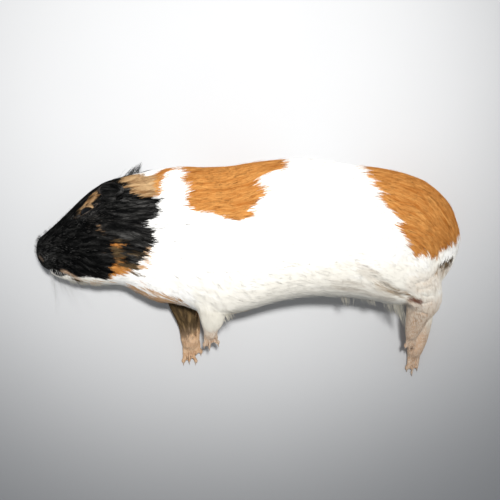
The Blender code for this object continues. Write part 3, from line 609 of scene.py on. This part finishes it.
WHITE = (0.90, 0.89, 0.865)
CREAM = (0.70, 0.655, 0.54)
TAN = (0.66, 0.45, 0.27)
TAN_DEEP = (0.42, 0.22, 0.10)
ORANGE = (0.48, 0.18, 0.034)
ORANGE_PALE = (0.70, 0.355, 0.11)
ORANGE_DEEP = (0.30, 0.085, 0.012)
BUFF = (0.60, 0.40, 0.21)
BUFF_DEEP = (0.20, 0.10, 0.04)
SABLE = (0.022, 0.015, 0.009)
SABLE_PALE = (0.26, 0.17, 0.08)
BLACK = (0.0016, 0.0017, 0.0018)
# Grey strands in the black hair stand in for its sheen: a painted highlight.
BLACK_PAINTED_SHEEN = (0.078, 0.076, 0.073)
BARE = (0.66, 0.475, 0.33)
BARE_DEEP = (0.42, 0.26, 0.16)
RUST = (0.13, 0.045, 0.026)
# Grey-brown, mostly painted shade in folds and on the low flank, and grey-brown hair in the groin's streaks.
GREY_HAIR_AND_SHADE = (0.36, 0.285, 0.205)


class Shade:
    """A shader value that can be added, multiplied and mixed; make() puts in any other node."""

    def __init__(self, tree, socket=None):
        self.tree = tree
        self.socket = socket

    def make(self, kind, settings=None, inputs=None, output=0):
        node = self.tree.nodes.new(kind)
        for name, value in (settings or {}).items():
            setattr(node, name, value)
        for name, value in (inputs or {}).items():
            if isinstance(value, Shade):
                self.tree.links.new(value.socket, node.inputs[name])
            else:
                node.inputs[name].default_value = value
        return Shade(self.tree, node.outputs[output])

    def maths(self, operation, first, second):
        return self.make("ShaderNodeMath", {"operation": operation}, {0: first, 1: second})

    def __add__(self, other):
        return self.maths("ADD", self, other)

    __radd__ = __add__

    def __mul__(self, other):
        return self.maths("MULTIPLY", self, other)

    __rmul__ = __mul__

    def __rsub__(self, other):
        return self.maths("SUBTRACT", other, self)

    def blend(self, low, high):
        """The colour low where this value is 0 and high where it is 1."""
        low, high = (c if isinstance(c, Shade) else (*c, 1.0) for c in (low, high))
        return self.make("ShaderNodeMix", {"data_type": "RGBA"}, {0: self, 6: low, 7: high}, output=2)

    def attribute(self, name):
        """The three numbers of a colour attribute."""
        node = self.tree.nodes.new("ShaderNodeAttribute")
        node.attribute_name = name
        parts = self.tree.nodes.new("ShaderNodeSeparateColor")
        self.tree.links.new(node.outputs["Color"], parts.inputs[0])
        return [Shade(self.tree, out) for out in parts.outputs]

    def grain(self, scale, detail=2.0, stretch=(1.0, 1.0, 1.0)):
        """Noise on the piece's own coordinates, in metres."""
        place = self.make("ShaderNodeTexCoord", output=3)
        place = self.make("ShaderNodeMapping", inputs={0: place, "Scale": stretch})
        return self.make("ShaderNodeTexNoise", inputs={0: place, "Scale": scale, "Detail": detail})


def new_finish(name, **constants):
    """A material with its constant sockets set, a blank to build its nodes from, and feed(), which leads
    a value into one of its shader's sockets."""
    made = bpy.data.materials.new(name)
    made.use_nodes = True
    tree = made.node_tree
    sockets = tree.nodes["Principled BSDF"].inputs
    for socket, value in constants.items():
        sockets[socket.replace("_", " ")].default_value = value
    return made, Shade(tree), lambda socket, value: tree.links.new(value.socket, sockets[socket])


def coat_colour(start):
    """The colour of hair by its marking shares, lighter or darker from lock to lock and from root to tip."""
    black, orange, buff = start.attribute("marks")
    cream, grey_hair_and_shade, _ = start.attribute("pale_marks")
    sable, bare, rust = start.attribute("skin_marks")
    tan, along, chance = start.attribute("strand")
    colour = cream.blend(WHITE, CREAM)
    # Grey-brown hair and painted shade over the white.
    colour = (grey_hair_and_shade * (1.45 - 0.9 * chance)).blend(colour, GREY_HAIR_AND_SHADE)
    even = chance * chance
    # Black hair, lighter in some locks by painted sheen.
    colour = black.blend(colour, (even * chance).blend(BLACK, BLACK_PAINTED_SHEEN))
    warm = (0.1 + 0.25 * along).blend(chance.blend(ORANGE_DEEP, ORANGE_PALE), ORANGE)
    colour = orange.blend(colour, warm)
    colour = buff.blend(colour, chance.blend(BUFF_DEEP, BUFF))
    colour = tan.blend(colour, chance.blend(TAN_DEEP, TAN))
    colour = sable.blend(colour, (0.12 + 0.55 * even).blend(SABLE, SABLE_PALE))
    colour = bare.blend(colour, (0.35 + 0.45 * chance).blend(BARE_DEEP, BARE))
    return rust.blend(colour, RUST), black, bare


skin_finish, start, feed = new_finish("skin", Specular_IOR_Level=0.35)
colour, _, bare = coat_colour(start)
pores = start.grain(900.0, 3.0)
creases_and_shade = start.grain(260.0, 4.0, (1.0, 0.55, 1.0))
# Bare skin is darker along its creases: painted shade.
colour = (0.28 * bare * creases_and_shade).blend(colour, BARE_DEEP)
feed("Base Color", colour)
feed("Roughness", 0.72 - 0.2 * bare * pores)
relief = {"Strength": 0.5, "Distance": 0.0006, "Height": 0.4 * pores + creases_and_shade}
feed("Normal", start.make("ShaderNodeBump", inputs=relief))
hide_mesh.materials.append(skin_finish)
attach(hide, "root")
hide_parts(*HIDE_NODES)

# ------------------------------
# The eyes: dark wet balls, set in the head behind nearly shut lids.
# Each is one smooth ball with a bulging cornea, and stands where its solid does.

EYE_SIZE = 4.66  # the ball's radius
CORNEA = 0.35  # how far the cornea bulges

eye_finish, start, feed = new_finish("wet eye", Roughness=0.12, Specular_IOR_Level=0.22)
haze = start.grain(420.0, 2.0)
feed("Base Color", haze.blend((0.002, 0.002, 0.002), (0.005, 0.006, 0.008)))
for side, centre in EYES.items():
    outward = Vector(EYE_OUTWARD[side]).normalized()
    bm = bmesh.new()
    bmesh.ops.create_icosphere(bm, subdivisions=4, radius=EYE_SIZE * MM)
    for vert in bm.verts:
        facing = vert.co.normalized().dot(outward)
        vert.co += vert.co.normalized() * CORNEA * MM * max(0.0, (facing - 0.55) / 0.45)
    bmesh.ops.translate(bm, verts=bm.verts, vec=Vector(centre) * MM)
    eye = new_piece("eyeball_" + side, bm)
    eye.data.shade_smooth()
    eye.data.materials.append(eye_finish)
    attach(eye, "root")
    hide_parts("eye_" + side)

# ------------------------------ The ears: thin black petals laid back along the head, with a paler rim of pinkish skin and painted glint.
# The ears: thin black petals laid back along the head, with a paler rim.
# Each is refined from its solid, narrowed as it folds against the head, and crumpled a little.

EAR_FOLD = 0.66  # how much of an ear's breadth shows
EAR_CRUMPLE = 0.2
EAR_RIM_SKIN_AND_GLINT = (0.93, 0.99)  # how far out from the ear's middle the rim starts and is full

ear_finish, start, feed = new_finish("ear skin", Specular_IOR_Level=0.2, Roughness=0.6)
veins = start.grain(300.0, 4.0, (0.6, 1.4, 1.0))
rim, _, _ = start.attribute("rim")
colour = (veins * veins).blend((0.003, 0.003, 0.003), (0.022, 0.018, 0.017))
# The rim is pinkish skin with a painted glint on it.
feed("Base Color", (0.35 * rim).blend(colour, (0.20, 0.15, 0.13)))
relief = {"Strength": 0.4, "Distance": 0.0005, "Height": veins}
feed("Normal", start.make("ShaderNodeBump", inputs=relief))
ear_meshes = []
for side in SIDES:
    bm = bmesh.new()
    bm.from_mesh(bpy.data.objects["ear_" + side].data)
    bmesh.ops.remove_doubles(bm, verts=bm.verts, dist=SAME_SPOT)
    bmesh.ops.join_triangles(bm, faces=bm.faces, angle_face_threshold=1.2, angle_shape_threshold=1.2)
    ear = new_piece("ear_petal_" + side, bm)
    finer = ear.modifiers.new("finer", "SUBSURF")
    finer.levels = finer.render_levels = 2
    ear.modifiers.new("in triangles", "TRIANGULATE")
    ear_mesh = baked_down(ear)
    places = mesh_points(ear_mesh)
    middle = places.mean(axis=0)
    places[:, 1] = middle[1] + (places[:, 1] - middle[1]) * EAR_FOLD
    places += mesh_normals(ear_mesh) * (EAR_CRUMPLE * ripple(places, 7.0, 4))[:, None]
    places[:, 2] = np.maximum(places[:, 2], 0.1)
    move_points(ear_mesh, places)
    spread = (places - middle)[:, :2] / np.abs(places - middle)[:, :2].max(axis=0)
    edge = fade(np.linalg.norm(spread, axis=1), *EAR_RIM_SKIN_AND_GLINT)
    layer = ear_mesh.color_attributes.new("rim", "FLOAT_COLOR", "POINT")
    layer.data.foreach_set("color", np.repeat(edge, 4).astype(np.float32))
    ear_mesh.shade_smooth()
    ear_mesh.materials.clear()
    ear_mesh.materials.append(ear_finish)
    ear_meshes.append(ear_mesh)
    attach(ear, "root")
    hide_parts("ear_" + side)

# ------------------------------
# The claws: small curved horn, streaked pale and brown, four on each forefoot
# and three on each hind foot. They are rounded off from their solids and kept as one piece.

CLAW_GIRTH = 0.62  # a claw's radius at its root
CLAW_BREADTH = 0.8  # its breadth against its height
CLAW_TAPER = 1.7  # how late it narrows
CLAW_ROOT = 0.6  # how far beyond its solid's root each claw starts
CLAW_REACH = 0.97  # how much of the solid claw's length is kept
CLAW_HOOK = 0.35  # how far it arches

claw_finish, start, feed = new_finish("claw horn", Roughness=0.35, Specular_IOR_Level=0.5)
layers = start.grain(700.0, 3.0, (1.0, 0.3, 1.0))
feed("Base Color", layers.blend((0.26, 0.18, 0.125), (0.54, 0.42, 0.31)))
bm = bmesh.new()
for node in CLAW_NODES:
    root, way, length = claw_line(node)
    tip, start_at = root + way * length * CLAW_REACH, root + way * CLAW_ROOT
    length = (tip - start_at).length
    cone = bmesh.ops.create_cone(bm, cap_ends=True, segments=10, radius1=1.0, radius2=0.5, depth=length)
    edges = list({edge for vert in cone["verts"] for edge in vert.link_edges})
    rising = [edge for edge in edges if abs(edge.verts[0].co.z - edge.verts[1].co.z) > 0.5]
    bmesh.ops.subdivide_edges(bm, edges=rising, cuts=4)
    turn = way.to_track_quat("Z", "Y").to_matrix()
    for vert in [vert for vert in bm.verts if not vert.tag]:
        share = min(1.0, max(0.0, vert.co.z / length + 0.5))
        girth = CLAW_GIRTH * (1.02 - share**CLAW_TAPER) / max(vert.co.xy.length, 1e-6)
        spot = Vector((vert.co.x * CLAW_BREADTH * girth, vert.co.y * girth, share * length))
        vert.co = (start_at + turn @ spot) * MM
        vert.co.z = max(vert.co.z - CLAW_HOOK * MM * (share**2 - share), 0.1 * MM)
        vert.tag = True
bmesh.ops.recalc_face_normals(bm, faces=bm.faces)
claws = new_piece("claws", bm)
claws.data.shade_smooth()
claws.data.materials.append(claw_finish)
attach(claws, "root")
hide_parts(*CLAW_NODES)

# ------------------------------
# The coat: short smooth hair in overlapping locks that lie back along the body.
# Every lock is one small tapered blade, laid over the hide step by step and gathered with its
# neighbours, then joined with them into one mesh for each stretch of the body.

LOCKS = 146000
LOCKS_PER_PIECE = 18400
GATHER = 0.26  # how far neighbouring tips are drawn together
CLUMP = 9  # locks to a clump
TAPER = np.array([0.9, 0.95, 0.0])  # a lock's breadth at its root, middle and tip
FLATNESS = 0.30  # its thickness against its breadth
STEPS = 2
RISE = (0.0, 0.86, 1.0)  # how much of the coat's depth a lock has reached at each step
EVENNESS = 0.62  # how far the shading of a dark lock follows the body under it
EVENNESS_PALE = 0.92  # the same for a white lock
BROADER_PALE = 0.45  # white locks are broader, so that no dark shows between them
SKYWARD = 0.40  # how far that shading turns up, as light wanders through the hair
STREAK = 1.0  # breadth of the lighter and darker streaks
STREAK_REACH = 0.7  # how far a streak runs each way, in lengths of the hair
STRAY = 0.02  # share of thin hairs that stand off the coat
ROOT_DEPTH = 0.2  # how far the roots are sunk in the skin
FLOOR_REACH = 0.9  # up to this height the floor presses the hair away
CROWD_ON_FLOOR, CROWD_BELOW, CROWD_BARE = 0.15, 0.75, 0.3  # how much of the hair is left in these places
WISP_BREADTH = 0.24
WISP_CREAM = 0.9
SKIN_IN_HAIR = 0.6  # how much of the bare skin's colour the hair over it takes

# Locks that stand out from the rest: place, way, how many, how long, how far they scatter, and how far
# their tips are drawn together.
WISPS = {
    "crown_tuft": ((-72, 56, 18), (0.64, 0.77, 0), 130, 9, 5, 0.6),
    "crown_spike": ((-67, 58, 18), (0.97, 0.26, 0), 50, 8.5, 2.2, 0.8),
    "crown_low": ((-77, 55, 20), (0.85, 0.5, 0), 60, 3.6, 5, 0),
    "ear_fringe": ((-80, 51.5, 33), (0.92, 0.35, 0.2), 90, 3.6, 4.6, 0.1),
    "belly_wisp": ((57, -17, 38), (0.35, -0.92, -0.1), 34, 6.5, 3, 0.6),
    "belly_wisp_low": ((71, -18, 38), (0.6, -0.8, -0.1), 40, 5.5, 6, 0.2),
    "groin_wisp": ((86, -19, 38), (0.35, -0.92, -0.1), 50, 8, 5.5, 0.12),
    "groin_tip": ((90, -20, 38), (0.3, -0.95, -0.1), 22, 12, 2.2, 0.7),
    "elbow_wisp": ((-12, -25, 42), (0.5, -0.85, 0), 30, 4.5, 3, 0.3),
    "throat_wisp": ((-66, -15, 26), (0.88, -0.46, 0), 90, 6.5, 12, 0),
    "chin_wisp": ((-105, -7, 21), (0.75, -0.65, 0), 70, 3.2, 6, 0),
    "jaw_wisp": ((-94, -9, 24), (0.85, -0.5, 0), 110, 3.8, 8, 0),
    "nose_fuzz": ((-126.5, 14, 18), (-0.75, 0.62, 0), 220, 2.2, 9, 0),
    "bridge_fuzz": ((-112, 33, 19), (0.1, 0.99, 0), 120, 1.9, 12, 0),
}


def unit(ways):
    """Ways one long, and none where there is no way."""
    return ways / np.maximum(np.linalg.norm(ways, axis=-1), 1e-9)[..., None]


chance = np.random.default_rng(11)
hairy_faces = [tuple(p.vertices) for p in hide_mesh.polygons]
hairy_points, hairy_normals = hide_points, hide_normals
hide_face_count = len(hairy_faces)
for ear_mesh in ear_meshes:
    hairy_faces += [tuple(k + len(hairy_points) for k in p.vertices) for p in ear_mesh.polygons]
    hairy_points = np.concatenate([hairy_points, mesh_points(ear_mesh)])
    hairy_normals = np.concatenate([hairy_normals, mesh_normals(ear_mesh)])
hairy_tree = BVHTree.FromPolygons([tuple(p) for p in hairy_points], hairy_faces)

corners = np.array([face[:3] for face in hairy_faces])
a, b, c = (hairy_points[corners[:, i]] for i in range(3))
face_out = np.cross(b - a, c - a)
face_size = np.linalg.norm(face_out, axis=1) / 2
face_middle = (a + b + c) / 3
face_lie = lie_at(face_middle)
crowd = 1 / np.sqrt(face_lie[:, 3] * face_lie[:, 5])
crowd[face_middle[:, 2] < FLOOR_REACH] *= CROWD_ON_FLOOR
crowd[face_out[:, 2] < -face_size] *= CROWD_BELOW
for side in EYES:
    crowd[np.linalg.norm(face_middle - EYES[side], axis=1) < EYE_BED - 0.2] = 0
    crowd[around_slit(face_middle, side)[0] < 1.15] = 0
sparse = np.maximum(markings(face_middle)[:, BARE_AT], near(face_middle, *PLACES["sable"]["vent"]))
crowd *= 1 - (1 - CROWD_BARE) * sparse
weight = face_size * crowd
chosen = chance.choice(len(weight), LOCKS, p=weight / weight.sum())
u, v = chance.random((2, LOCKS))
over = u + v > 1
u[over], v[over] = 1 - u[over], 1 - v[over]
roots = a[chosen] + (b - a)[chosen] * u[:, None] + (c - a)[chosen] * v[:, None]


def on_hide(places):
    """The nearest places on the hide, and the way out of it there."""
    spots, faces = np.empty_like(places), np.empty(len(places), int)
    for i, place in enumerate(places):
        spots[i], _, faces[i], _ = hairy_tree.find_nearest(place)
    return spots, unit(hairy_normals[corners[faces]].mean(axis=1))


def laid(ways, outs):
    """Ways turned to lie along the hide."""
    return unit(ways - outs * np.sum(ways * outs, axis=1)[:, None])


values = lie_at(roots)
ways, lengths, depths, breadths = values[:, :3], values[:, 3], values[:, 4], values[:, 5]
lengths = lengths * chance.uniform(0.72, 1.15, LOCKS)
stray = chance.random(LOCKS) < STRAY
depths = depths * (0.92 + 0.14 * chance.random(LOCKS)) * (1 + 0.4 * stray)
breadths = breadths * (1 - 0.5 * stray)
for place, way, count, length, scatter, _ in WISPS.values():
    extra = np.array(place, float) + chance.normal(0, scatter * 0.5, (count, 3))
    roots = np.concatenate([roots, extra])
    ways = np.concatenate([ways, np.tile(way, (count, 1))])
    lengths = np.concatenate([lengths, length * chance.uniform(0.6, 1.15, count)])
    depths = np.concatenate([depths, np.full(count, 0.2 * length)])
    breadths = np.concatenate([breadths, np.full(count, WISP_BREADTH)])
total = len(roots)
wisp = np.arange(total) >= LOCKS

roots, outs = on_hide(roots)
swirl = 0.15 * ripple(roots, 26.0, 5) + 0.08 * ripple(roots, 9.0, 6) + chance.normal(0, 0.07, total)
forward = laid(ways, outs)
sideways = np.cross(outs, forward)
forward = forward * np.cos(swirl)[:, None] + sideways * np.sin(swirl)[:, None]
standing = ways[wisp] + chance.normal(0, 0.12, (wisp.sum(), 3))
wisp_counts = [count for _, _, count, _, _, _ in WISPS.values()]
drawn = np.repeat([row[-1] for row in WISPS.values()], wisp_counts)[:, None]
meeting = [np.array(place) + np.array(way) * length for place, way, _, length, _, _ in WISPS.values()]
meeting = np.repeat(meeting, wisp_counts, axis=0)
standing = (1 - drawn) * standing + drawn * unit(meeting - roots[wisp])
forward[wisp] = unit(standing)

seeds = np.arange(0, total, CLUMP)
clumps = KDTree(len(seeds))
for i, seed in enumerate(seeds):
    clumps.insert(roots[seed], i)
clumps.balance()
owner = seeds[[clumps.find(place)[1] for place in roots]]
gather = np.where(wisp, 0.0, GATHER) * (1 - 0.5 * (breadths < 0.42))

spine = [roots - outs * ROOT_DEPTH]
spine_outs = [outs]
spot, way = roots, forward
for step in range(1, STEPS + 1):
    spot, out = on_hide(spot + way * (lengths / STEPS)[:, None])
    way = laid(way, out)
    share = step / STEPS
    pull = roots[owner] + forward[owner] * (lengths * share)[:, None] - spot
    pull -= out * np.sum(pull * out, axis=1)[:, None]
    rise = depths * RISE[step] * (0.95 + 0.08 * ripple(roots, 6.0, 7))
    lifted = spot + out * rise[:, None] + pull * (gather * share)[:, None]
    lifted[wisp] = (roots + forward * (lengths * share)[:, None] + outs * rise[:, None])[wisp]
    spine.append(lifted)
    spine_outs.append(out)
spine = np.stack(spine, axis=1)
spine_outs = np.stack(spine_outs, axis=1)

STREAK_CELLS = 48
STREAK_TABLE = chance.random((STREAK_CELLS,) * 3)


def streaks(points, ways, reaches):
    """Lighter and darker streaks along the lie of the coat, about -1 to 1."""
    total = np.zeros(len(points))
    for step in np.linspace(-STREAK_REACH, STREAK_REACH, 11):
        places = (points + ways * (step * reaches)[:, None]) / STREAK
        cell = np.floor(places).astype(int)
        part = places - cell
        for corner in np.ndindex(2, 2, 2):
            share = np.prod(np.where(corner, part, 1 - part), axis=1)
            total += share * STREAK_TABLE[tuple(((cell + corner) % STREAK_CELLS).T)]
    return (total - total.mean()) / total.std()


streak = streaks(0.4 * spine[:, 0] + 0.6 * spine[:, 2], forward, lengths)
# Each lock takes its marks from its middle, moved a little along the lie, so that edges run out in hairs.
shift = 1.1 * streaks(roots + 17.0, forward, lengths) + chance.normal(0, 0.7, total)
shift *= np.minimum(1, lengths / 6)
lock_marks = markings(0.45 * spine[:, 0] + 0.55 * spine[:, 2] + forward * shift[:, None])
dark = lock_marks[:, [BLACK_AT, ORANGE_AT, BUFF_AT, SABLE_AT]].max(axis=1)

bm = bmesh.new()
bmesh.ops.create_cone(bm, cap_ends=True, segments=3, radius1=1.0, radius2=0.0, depth=1.0)
everything = bm.verts[:] + bm.edges[:] + bm.faces[:]
bmesh.ops.bisect_plane(bm, geom=everything, plane_co=(0, 0, 0), plane_no=(0, 0, 1))
bmesh.ops.triangulate(bm, faces=bm.faces)
bm.verts.ensure_lookup_table()
blade = np.array([vert.co for vert in bm.verts])
blade_faces = [[vert.index for vert in face.verts] for face in bm.faces]
bm.free()
blade_level = np.rint((blade[:, 2] + 0.5) * STEPS).astype(int)
blade_round = unit(blade[:, :2]) * (blade_level < STEPS)[:, None]

along_way = unit(np.gradient(spine, axis=1))
across = unit(np.cross(spine_outs, along_way))
upward = np.cross(along_way, across)
width = breadths * 0.5 * chance.uniform(0.75, 1.15, total)
width *= 1 + BROADER_PALE * (1 - dark)
girth = width[:, None] * TAPER[blade_level][None]
lock_points = spine[:, blade_level]
lock_points = lock_points + across[:, blade_level] * (girth * blade_round[:, 0])[:, :, None]
lock_points = lock_points + upward[:, blade_level] * (girth * FLATNESS * blade_round[:, 1])[:, :, None]
lock_points[:, :, 2] = np.maximum(lock_points[:, :, 2], 0.05)
own = across[:, blade_level] * blade_round[:, 0][None, :, None]
own = own + upward[:, blade_level] * (0.2 + blade_round[:, 1])[None, :, None]
even = (EVENNESS * dark + EVENNESS_PALE * (1 - dark))[:, None, None]
shade_outs = spine_outs[:, blade_level] + np.array([0, 0, SKYWARD])
lock_normals = unit(even * shade_outs + (1 - even) * own)
brindle = streaks(roots + 31.0, forward, lengths)
for column in (SABLE_AT, TAN_AT):  # half-dark and half-tan places are a mix of dark and light streaks
    part = lock_marks[:, column]
    mixed = fade(part, -0.1, 0.4) * fade(1.05 - part, 0.0, 0.35)
    lock_marks[:, column] = np.where(part > 0.02, fade(part + 0.28 * mixed * brindle, 0.2, 0.8), 0)
# The grey-brown hair and painted shade break into streaks.
lock_marks[:, GREY_HAIR_AND_SHADE_AT] = np.clip(lock_marks[:, GREY_HAIR_AND_SHADE_AT] * (1 + 0.5 * brindle), 0, 1)
on_ears = np.flatnonzero(chosen >= hide_face_count)
lock_marks[on_ears] = 0
lock_marks[on_ears, BLACK_AT] = 1
all_black = np.repeat([name.startswith(("crown", "ear")) for name in WISPS], wisp_counts)
lock_marks[LOCKS:, BLACK_AT] = np.where(all_black, 1.0, lock_marks[LOCKS:, BLACK_AT])
lock_marks[LOCKS:, CREAM_AT] = WISP_CREAM * (1 - lock_marks[LOCKS:, BLACK_AT])
lock_marks[LOCKS:, BARE_AT] = 0.0
lock_marks[:, BARE_AT] *= SKIN_IN_HAIR
lock_chance = 0.5 + 0.10 * ripple(roots * (0.5, 1, 1), 6.0, 8) + 0.20 * streak + chance.normal(0, 0.12, total)
# On the muzzle the black's painted sheen is faintest.
sheen_behind_muzzle = fade(roots[:, 0], -102, -62)  # the black is deepest on the muzzle
lock_chance *= 1 - 0.45 * lock_marks[:, BLACK_AT] * (1 - sheen_behind_muzzle)
lock_chance = np.clip(lock_chance, 0, 1)

# A flat plan of the hide, from which each lock takes its own small patch.
PATCH = 0.003  # breadth of one lock's patch
PLAN_SHARE = 0.06  # how many of the hide's faces the plan keeps
plan = put_in("plan", hide_mesh.copy())
fewer = plan.modifiers.new("fewer", "DECIMATE")
fewer.ratio = PLAN_SHARE
plan_mesh = baked_down(plan)
bpy.context.view_layer.objects.active = plan
plan.select_set(True)
bpy.ops.object.mode_set(mode="EDIT")
bpy.ops.mesh.select_all(action="SELECT")
bpy.ops.uv.smart_project(angle_limit=1.1, island_margin=0.004)
bpy.ops.object.mode_set(mode="OBJECT")
plan_points = mesh_points(plan_mesh)
plan_loops = np.empty(len(plan_mesh.loops) * 2, np.float32)
plan_mesh.uv_layers.active.data.foreach_get("uv", plan_loops)
plan_loops = plan_loops.reshape(-1, 2)
plan_faces = [tuple(p.vertices) for p in plan_mesh.polygons]
plan_starts = [p.loop_start for p in plan_mesh.polygons]
plan_tree = BVHTree.FromPolygons([tuple(p) for p in plan_points], plan_faces)
patch = np.empty((total, 2))
for i, place in enumerate(roots):
    spot, _, face, _ = plan_tree.find_nearest(place)
    p, q, r = (plan_points[k] for k in plan_faces[face][:3])
    grid = np.stack([q - p, r - p], axis=1)
    shares = np.linalg.lstsq(grid, np.array(spot) - p, rcond=None)[0]
    uv = plan_loops[plan_starts[face] : plan_starts[face] + 3]
    patch[i] = uv[0] + (uv[1] - uv[0]) * shares[0] + (uv[2] - uv[0]) * shares[1]
bpy.data.objects.remove(plan, do_unlink=True)

coat_finish, start, feed = new_finish("coat", Specular_IOR_Level=0.02)
colour, black, _ = coat_colour(start)
feed("Base Color", colour)
feed("Roughness", 0.6 - 0.15 * black)

ordered = np.argsort(roots[:, 0], kind="stable")
pieces_needed = math.ceil(total / LOCKS_PER_PIECE)
per_face = [len(face) for face in blade_faces]
face_loops = np.concatenate(blade_faces)
loop_level = blade_level[face_loops] / STEPS
loop_side = blade_round[face_loops, 0]
for number, members in enumerate(np.array_split(ordered, pieces_needed), 1):
    count = len(members)
    mesh = bpy.data.meshes.new(f"coat_{number}")
    mesh.vertices.add(count * len(blade))
    mesh.vertices.foreach_set("co", (lock_points[members] * MM).astype(np.float32).ravel())
    loops = (np.arange(count)[:, None] * len(blade) + face_loops[None]).ravel()
    mesh.loops.add(len(loops))
    mesh.loops.foreach_set("vertex_index", loops.astype(np.int32))
    starts = np.concatenate([[0], np.cumsum(per_face)[:-1]])
    starts = (np.arange(count)[:, None] * len(face_loops) + starts[None]).ravel()
    mesh.polygons.add(len(starts))
    mesh.polygons.foreach_set("loop_start", starts.astype(np.int32))
    mesh.update(calc_edges=True)
    patches = mesh.uv_layers.new(name="OFBake")
    corner = np.stack([PATCH / 2 * loop_side, PATCH * (loop_level - 0.5)], axis=1)
    patches.data.foreach_set("uv", (patch[members][:, None] + corner[None]).astype(np.float32).ravel())
    marks = np.repeat(lock_marks[members], len(blade), axis=0)
    along = np.tile(blade_level / STEPS, count)
    give_colours(mesh, marks, along, np.repeat(lock_chance[members], len(blade)))
    mesh.shade_smooth()
    mesh.normals_split_custom_set_from_vertices(lock_normals[members].reshape(-1, 3).astype(np.float32))
    mesh.materials.append(coat_finish)
    coat = put_in(f"coat_{number}", mesh)
    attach(coat, "root")

# ------------------------------
# The whiskers: long pale tapering bristles that grow from the muzzle and droop towards the floor.
# Each is a thin curve made into a mesh, and all are joined as one piece.

WHISKERS = 11  # on each side
WHISKER_GIRTH = 0.12  # a whisker's radius at its root
WHISKER_PARTS = 7

whisker_finish, _, _ = new_finish("whisker", Roughness=0.4, Base_Color=(0.50, 0.49, 0.47, 1.0))
bm = bmesh.new()
for side in SIDES:
    for number in range(WHISKERS):
        row, rank = number % 3, number // 3
        up = 1 if side == "left" else -1
        height = 17.3 + up * (10.0 + 0.6 * rank)
        root = Vector((-119 + 3.4 * rank + 0.6 * row, -0.6 + 1.5 * row, height))
        way = Vector((0.25 + 0.12 * rank, -0.85, up * (0.35 - 0.1 * row))).normalized()
        reach = chance.uniform(14, 27) if side == "left" else chance.uniform(10, 16)
        curve = bpy.data.curves.new("whisker", "CURVE")
        curve.dimensions = "3D"
        curve.bevel_depth = WHISKER_GIRTH * MM
        curve.bevel_resolution = 0
        spline = curve.splines.new("POLY")
        spline.points.add(WHISKER_PARTS)
        bend = Vector((0.25 * chance.normal(), -0.1, -0.35 if side == "left" else 0.1))
        for k, point in enumerate(spline.points):
            share = k / WHISKER_PARTS
            spot = root + way * reach * share + bend * reach * 0.35 * share**2
            point.co = (spot.x * MM, spot.y * MM, max(spot.z, 0.2) * MM, 1.0)
            point.radius = 1.0 - 0.85 * share
        drawn = put_in("whisker", curve)
        bm.from_mesh(drawn.to_mesh())
        drawn.to_mesh_clear()
        bpy.data.objects.remove(drawn, do_unlink=True)
whiskers = new_piece("whiskers", bm)
whiskers.data.shade_smooth()
whiskers.data.materials.append(whisker_finish)
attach(whiskers, "root")

# ------------------------------
# The studio: a plain pale table top, one hard lamp high on the right behind the back, and dim pale air.
# The table is a single flat sheet, and lamp and camera are placed in metres.

bm = bmesh.new()
bmesh.ops.create_grid(bm, x_segments=1, y_segments=1, size=1.6)
table = new_piece("table_top", bm)
table_finish, start, feed = new_finish("table top", Roughness=0.7, Specular_IOR_Level=0.2)
mottle = start.grain(9.0, 3.0)
feed("Base Color", mottle.blend((0.515, 0.52, 0.53), (0.545, 0.55, 0.56)))
table.data.materials.append(table_finish)

LAMP_PLACE = Vector((0.11, 0.28, 1.50))
LAMP_AIM = Vector((-0.02, 0.125, 0.0))
lamp = bpy.data.lights.new("key", "SPOT")
lamp.shadow_soft_size = 0.08
lamp.spot_size = math.radians(22.6)
lamp.spot_blend = 1.0
lamp.energy = 141.0
lamp.color = (1.0, 0.99, 0.97)
stand = put_in("key", lamp)
stand.location = LAMP_PLACE
stand.rotation_euler = (LAMP_AIM - LAMP_PLACE).to_track_quat("-Z", "Y").to_euler()
air = bpy.data.worlds.new("air")
air.use_nodes = True
glow = air.node_tree.nodes["Background"]
glow.inputs["Color"].default_value = (0.93, 0.96, 1.0, 1.0)
glow.inputs["Strength"].default_value = 0.34
scene.world = air
scene.view_settings.view_transform = "Standard"
scene.view_settings.exposure = 0.0

# The camera looks straight down, with the animal's back towards the top of the picture.
MIDDLE_HEIGHT = 0.030
DISTANCE = 0.62
PICTURE_WIDTH = 0.300
AIM = (0.00184, 0.01255)
SENSOR = 36.0

camera = put_in("camera", bpy.data.cameras.new("camera"))
camera.data.sensor_width = SENSOR
camera.data.lens = SENSOR * DISTANCE / PICTURE_WIDTH
camera.data.clip_start = 0.01
camera.location = (*AIM, MIDDLE_HEIGHT + DISTANCE)
scene.camera = camera
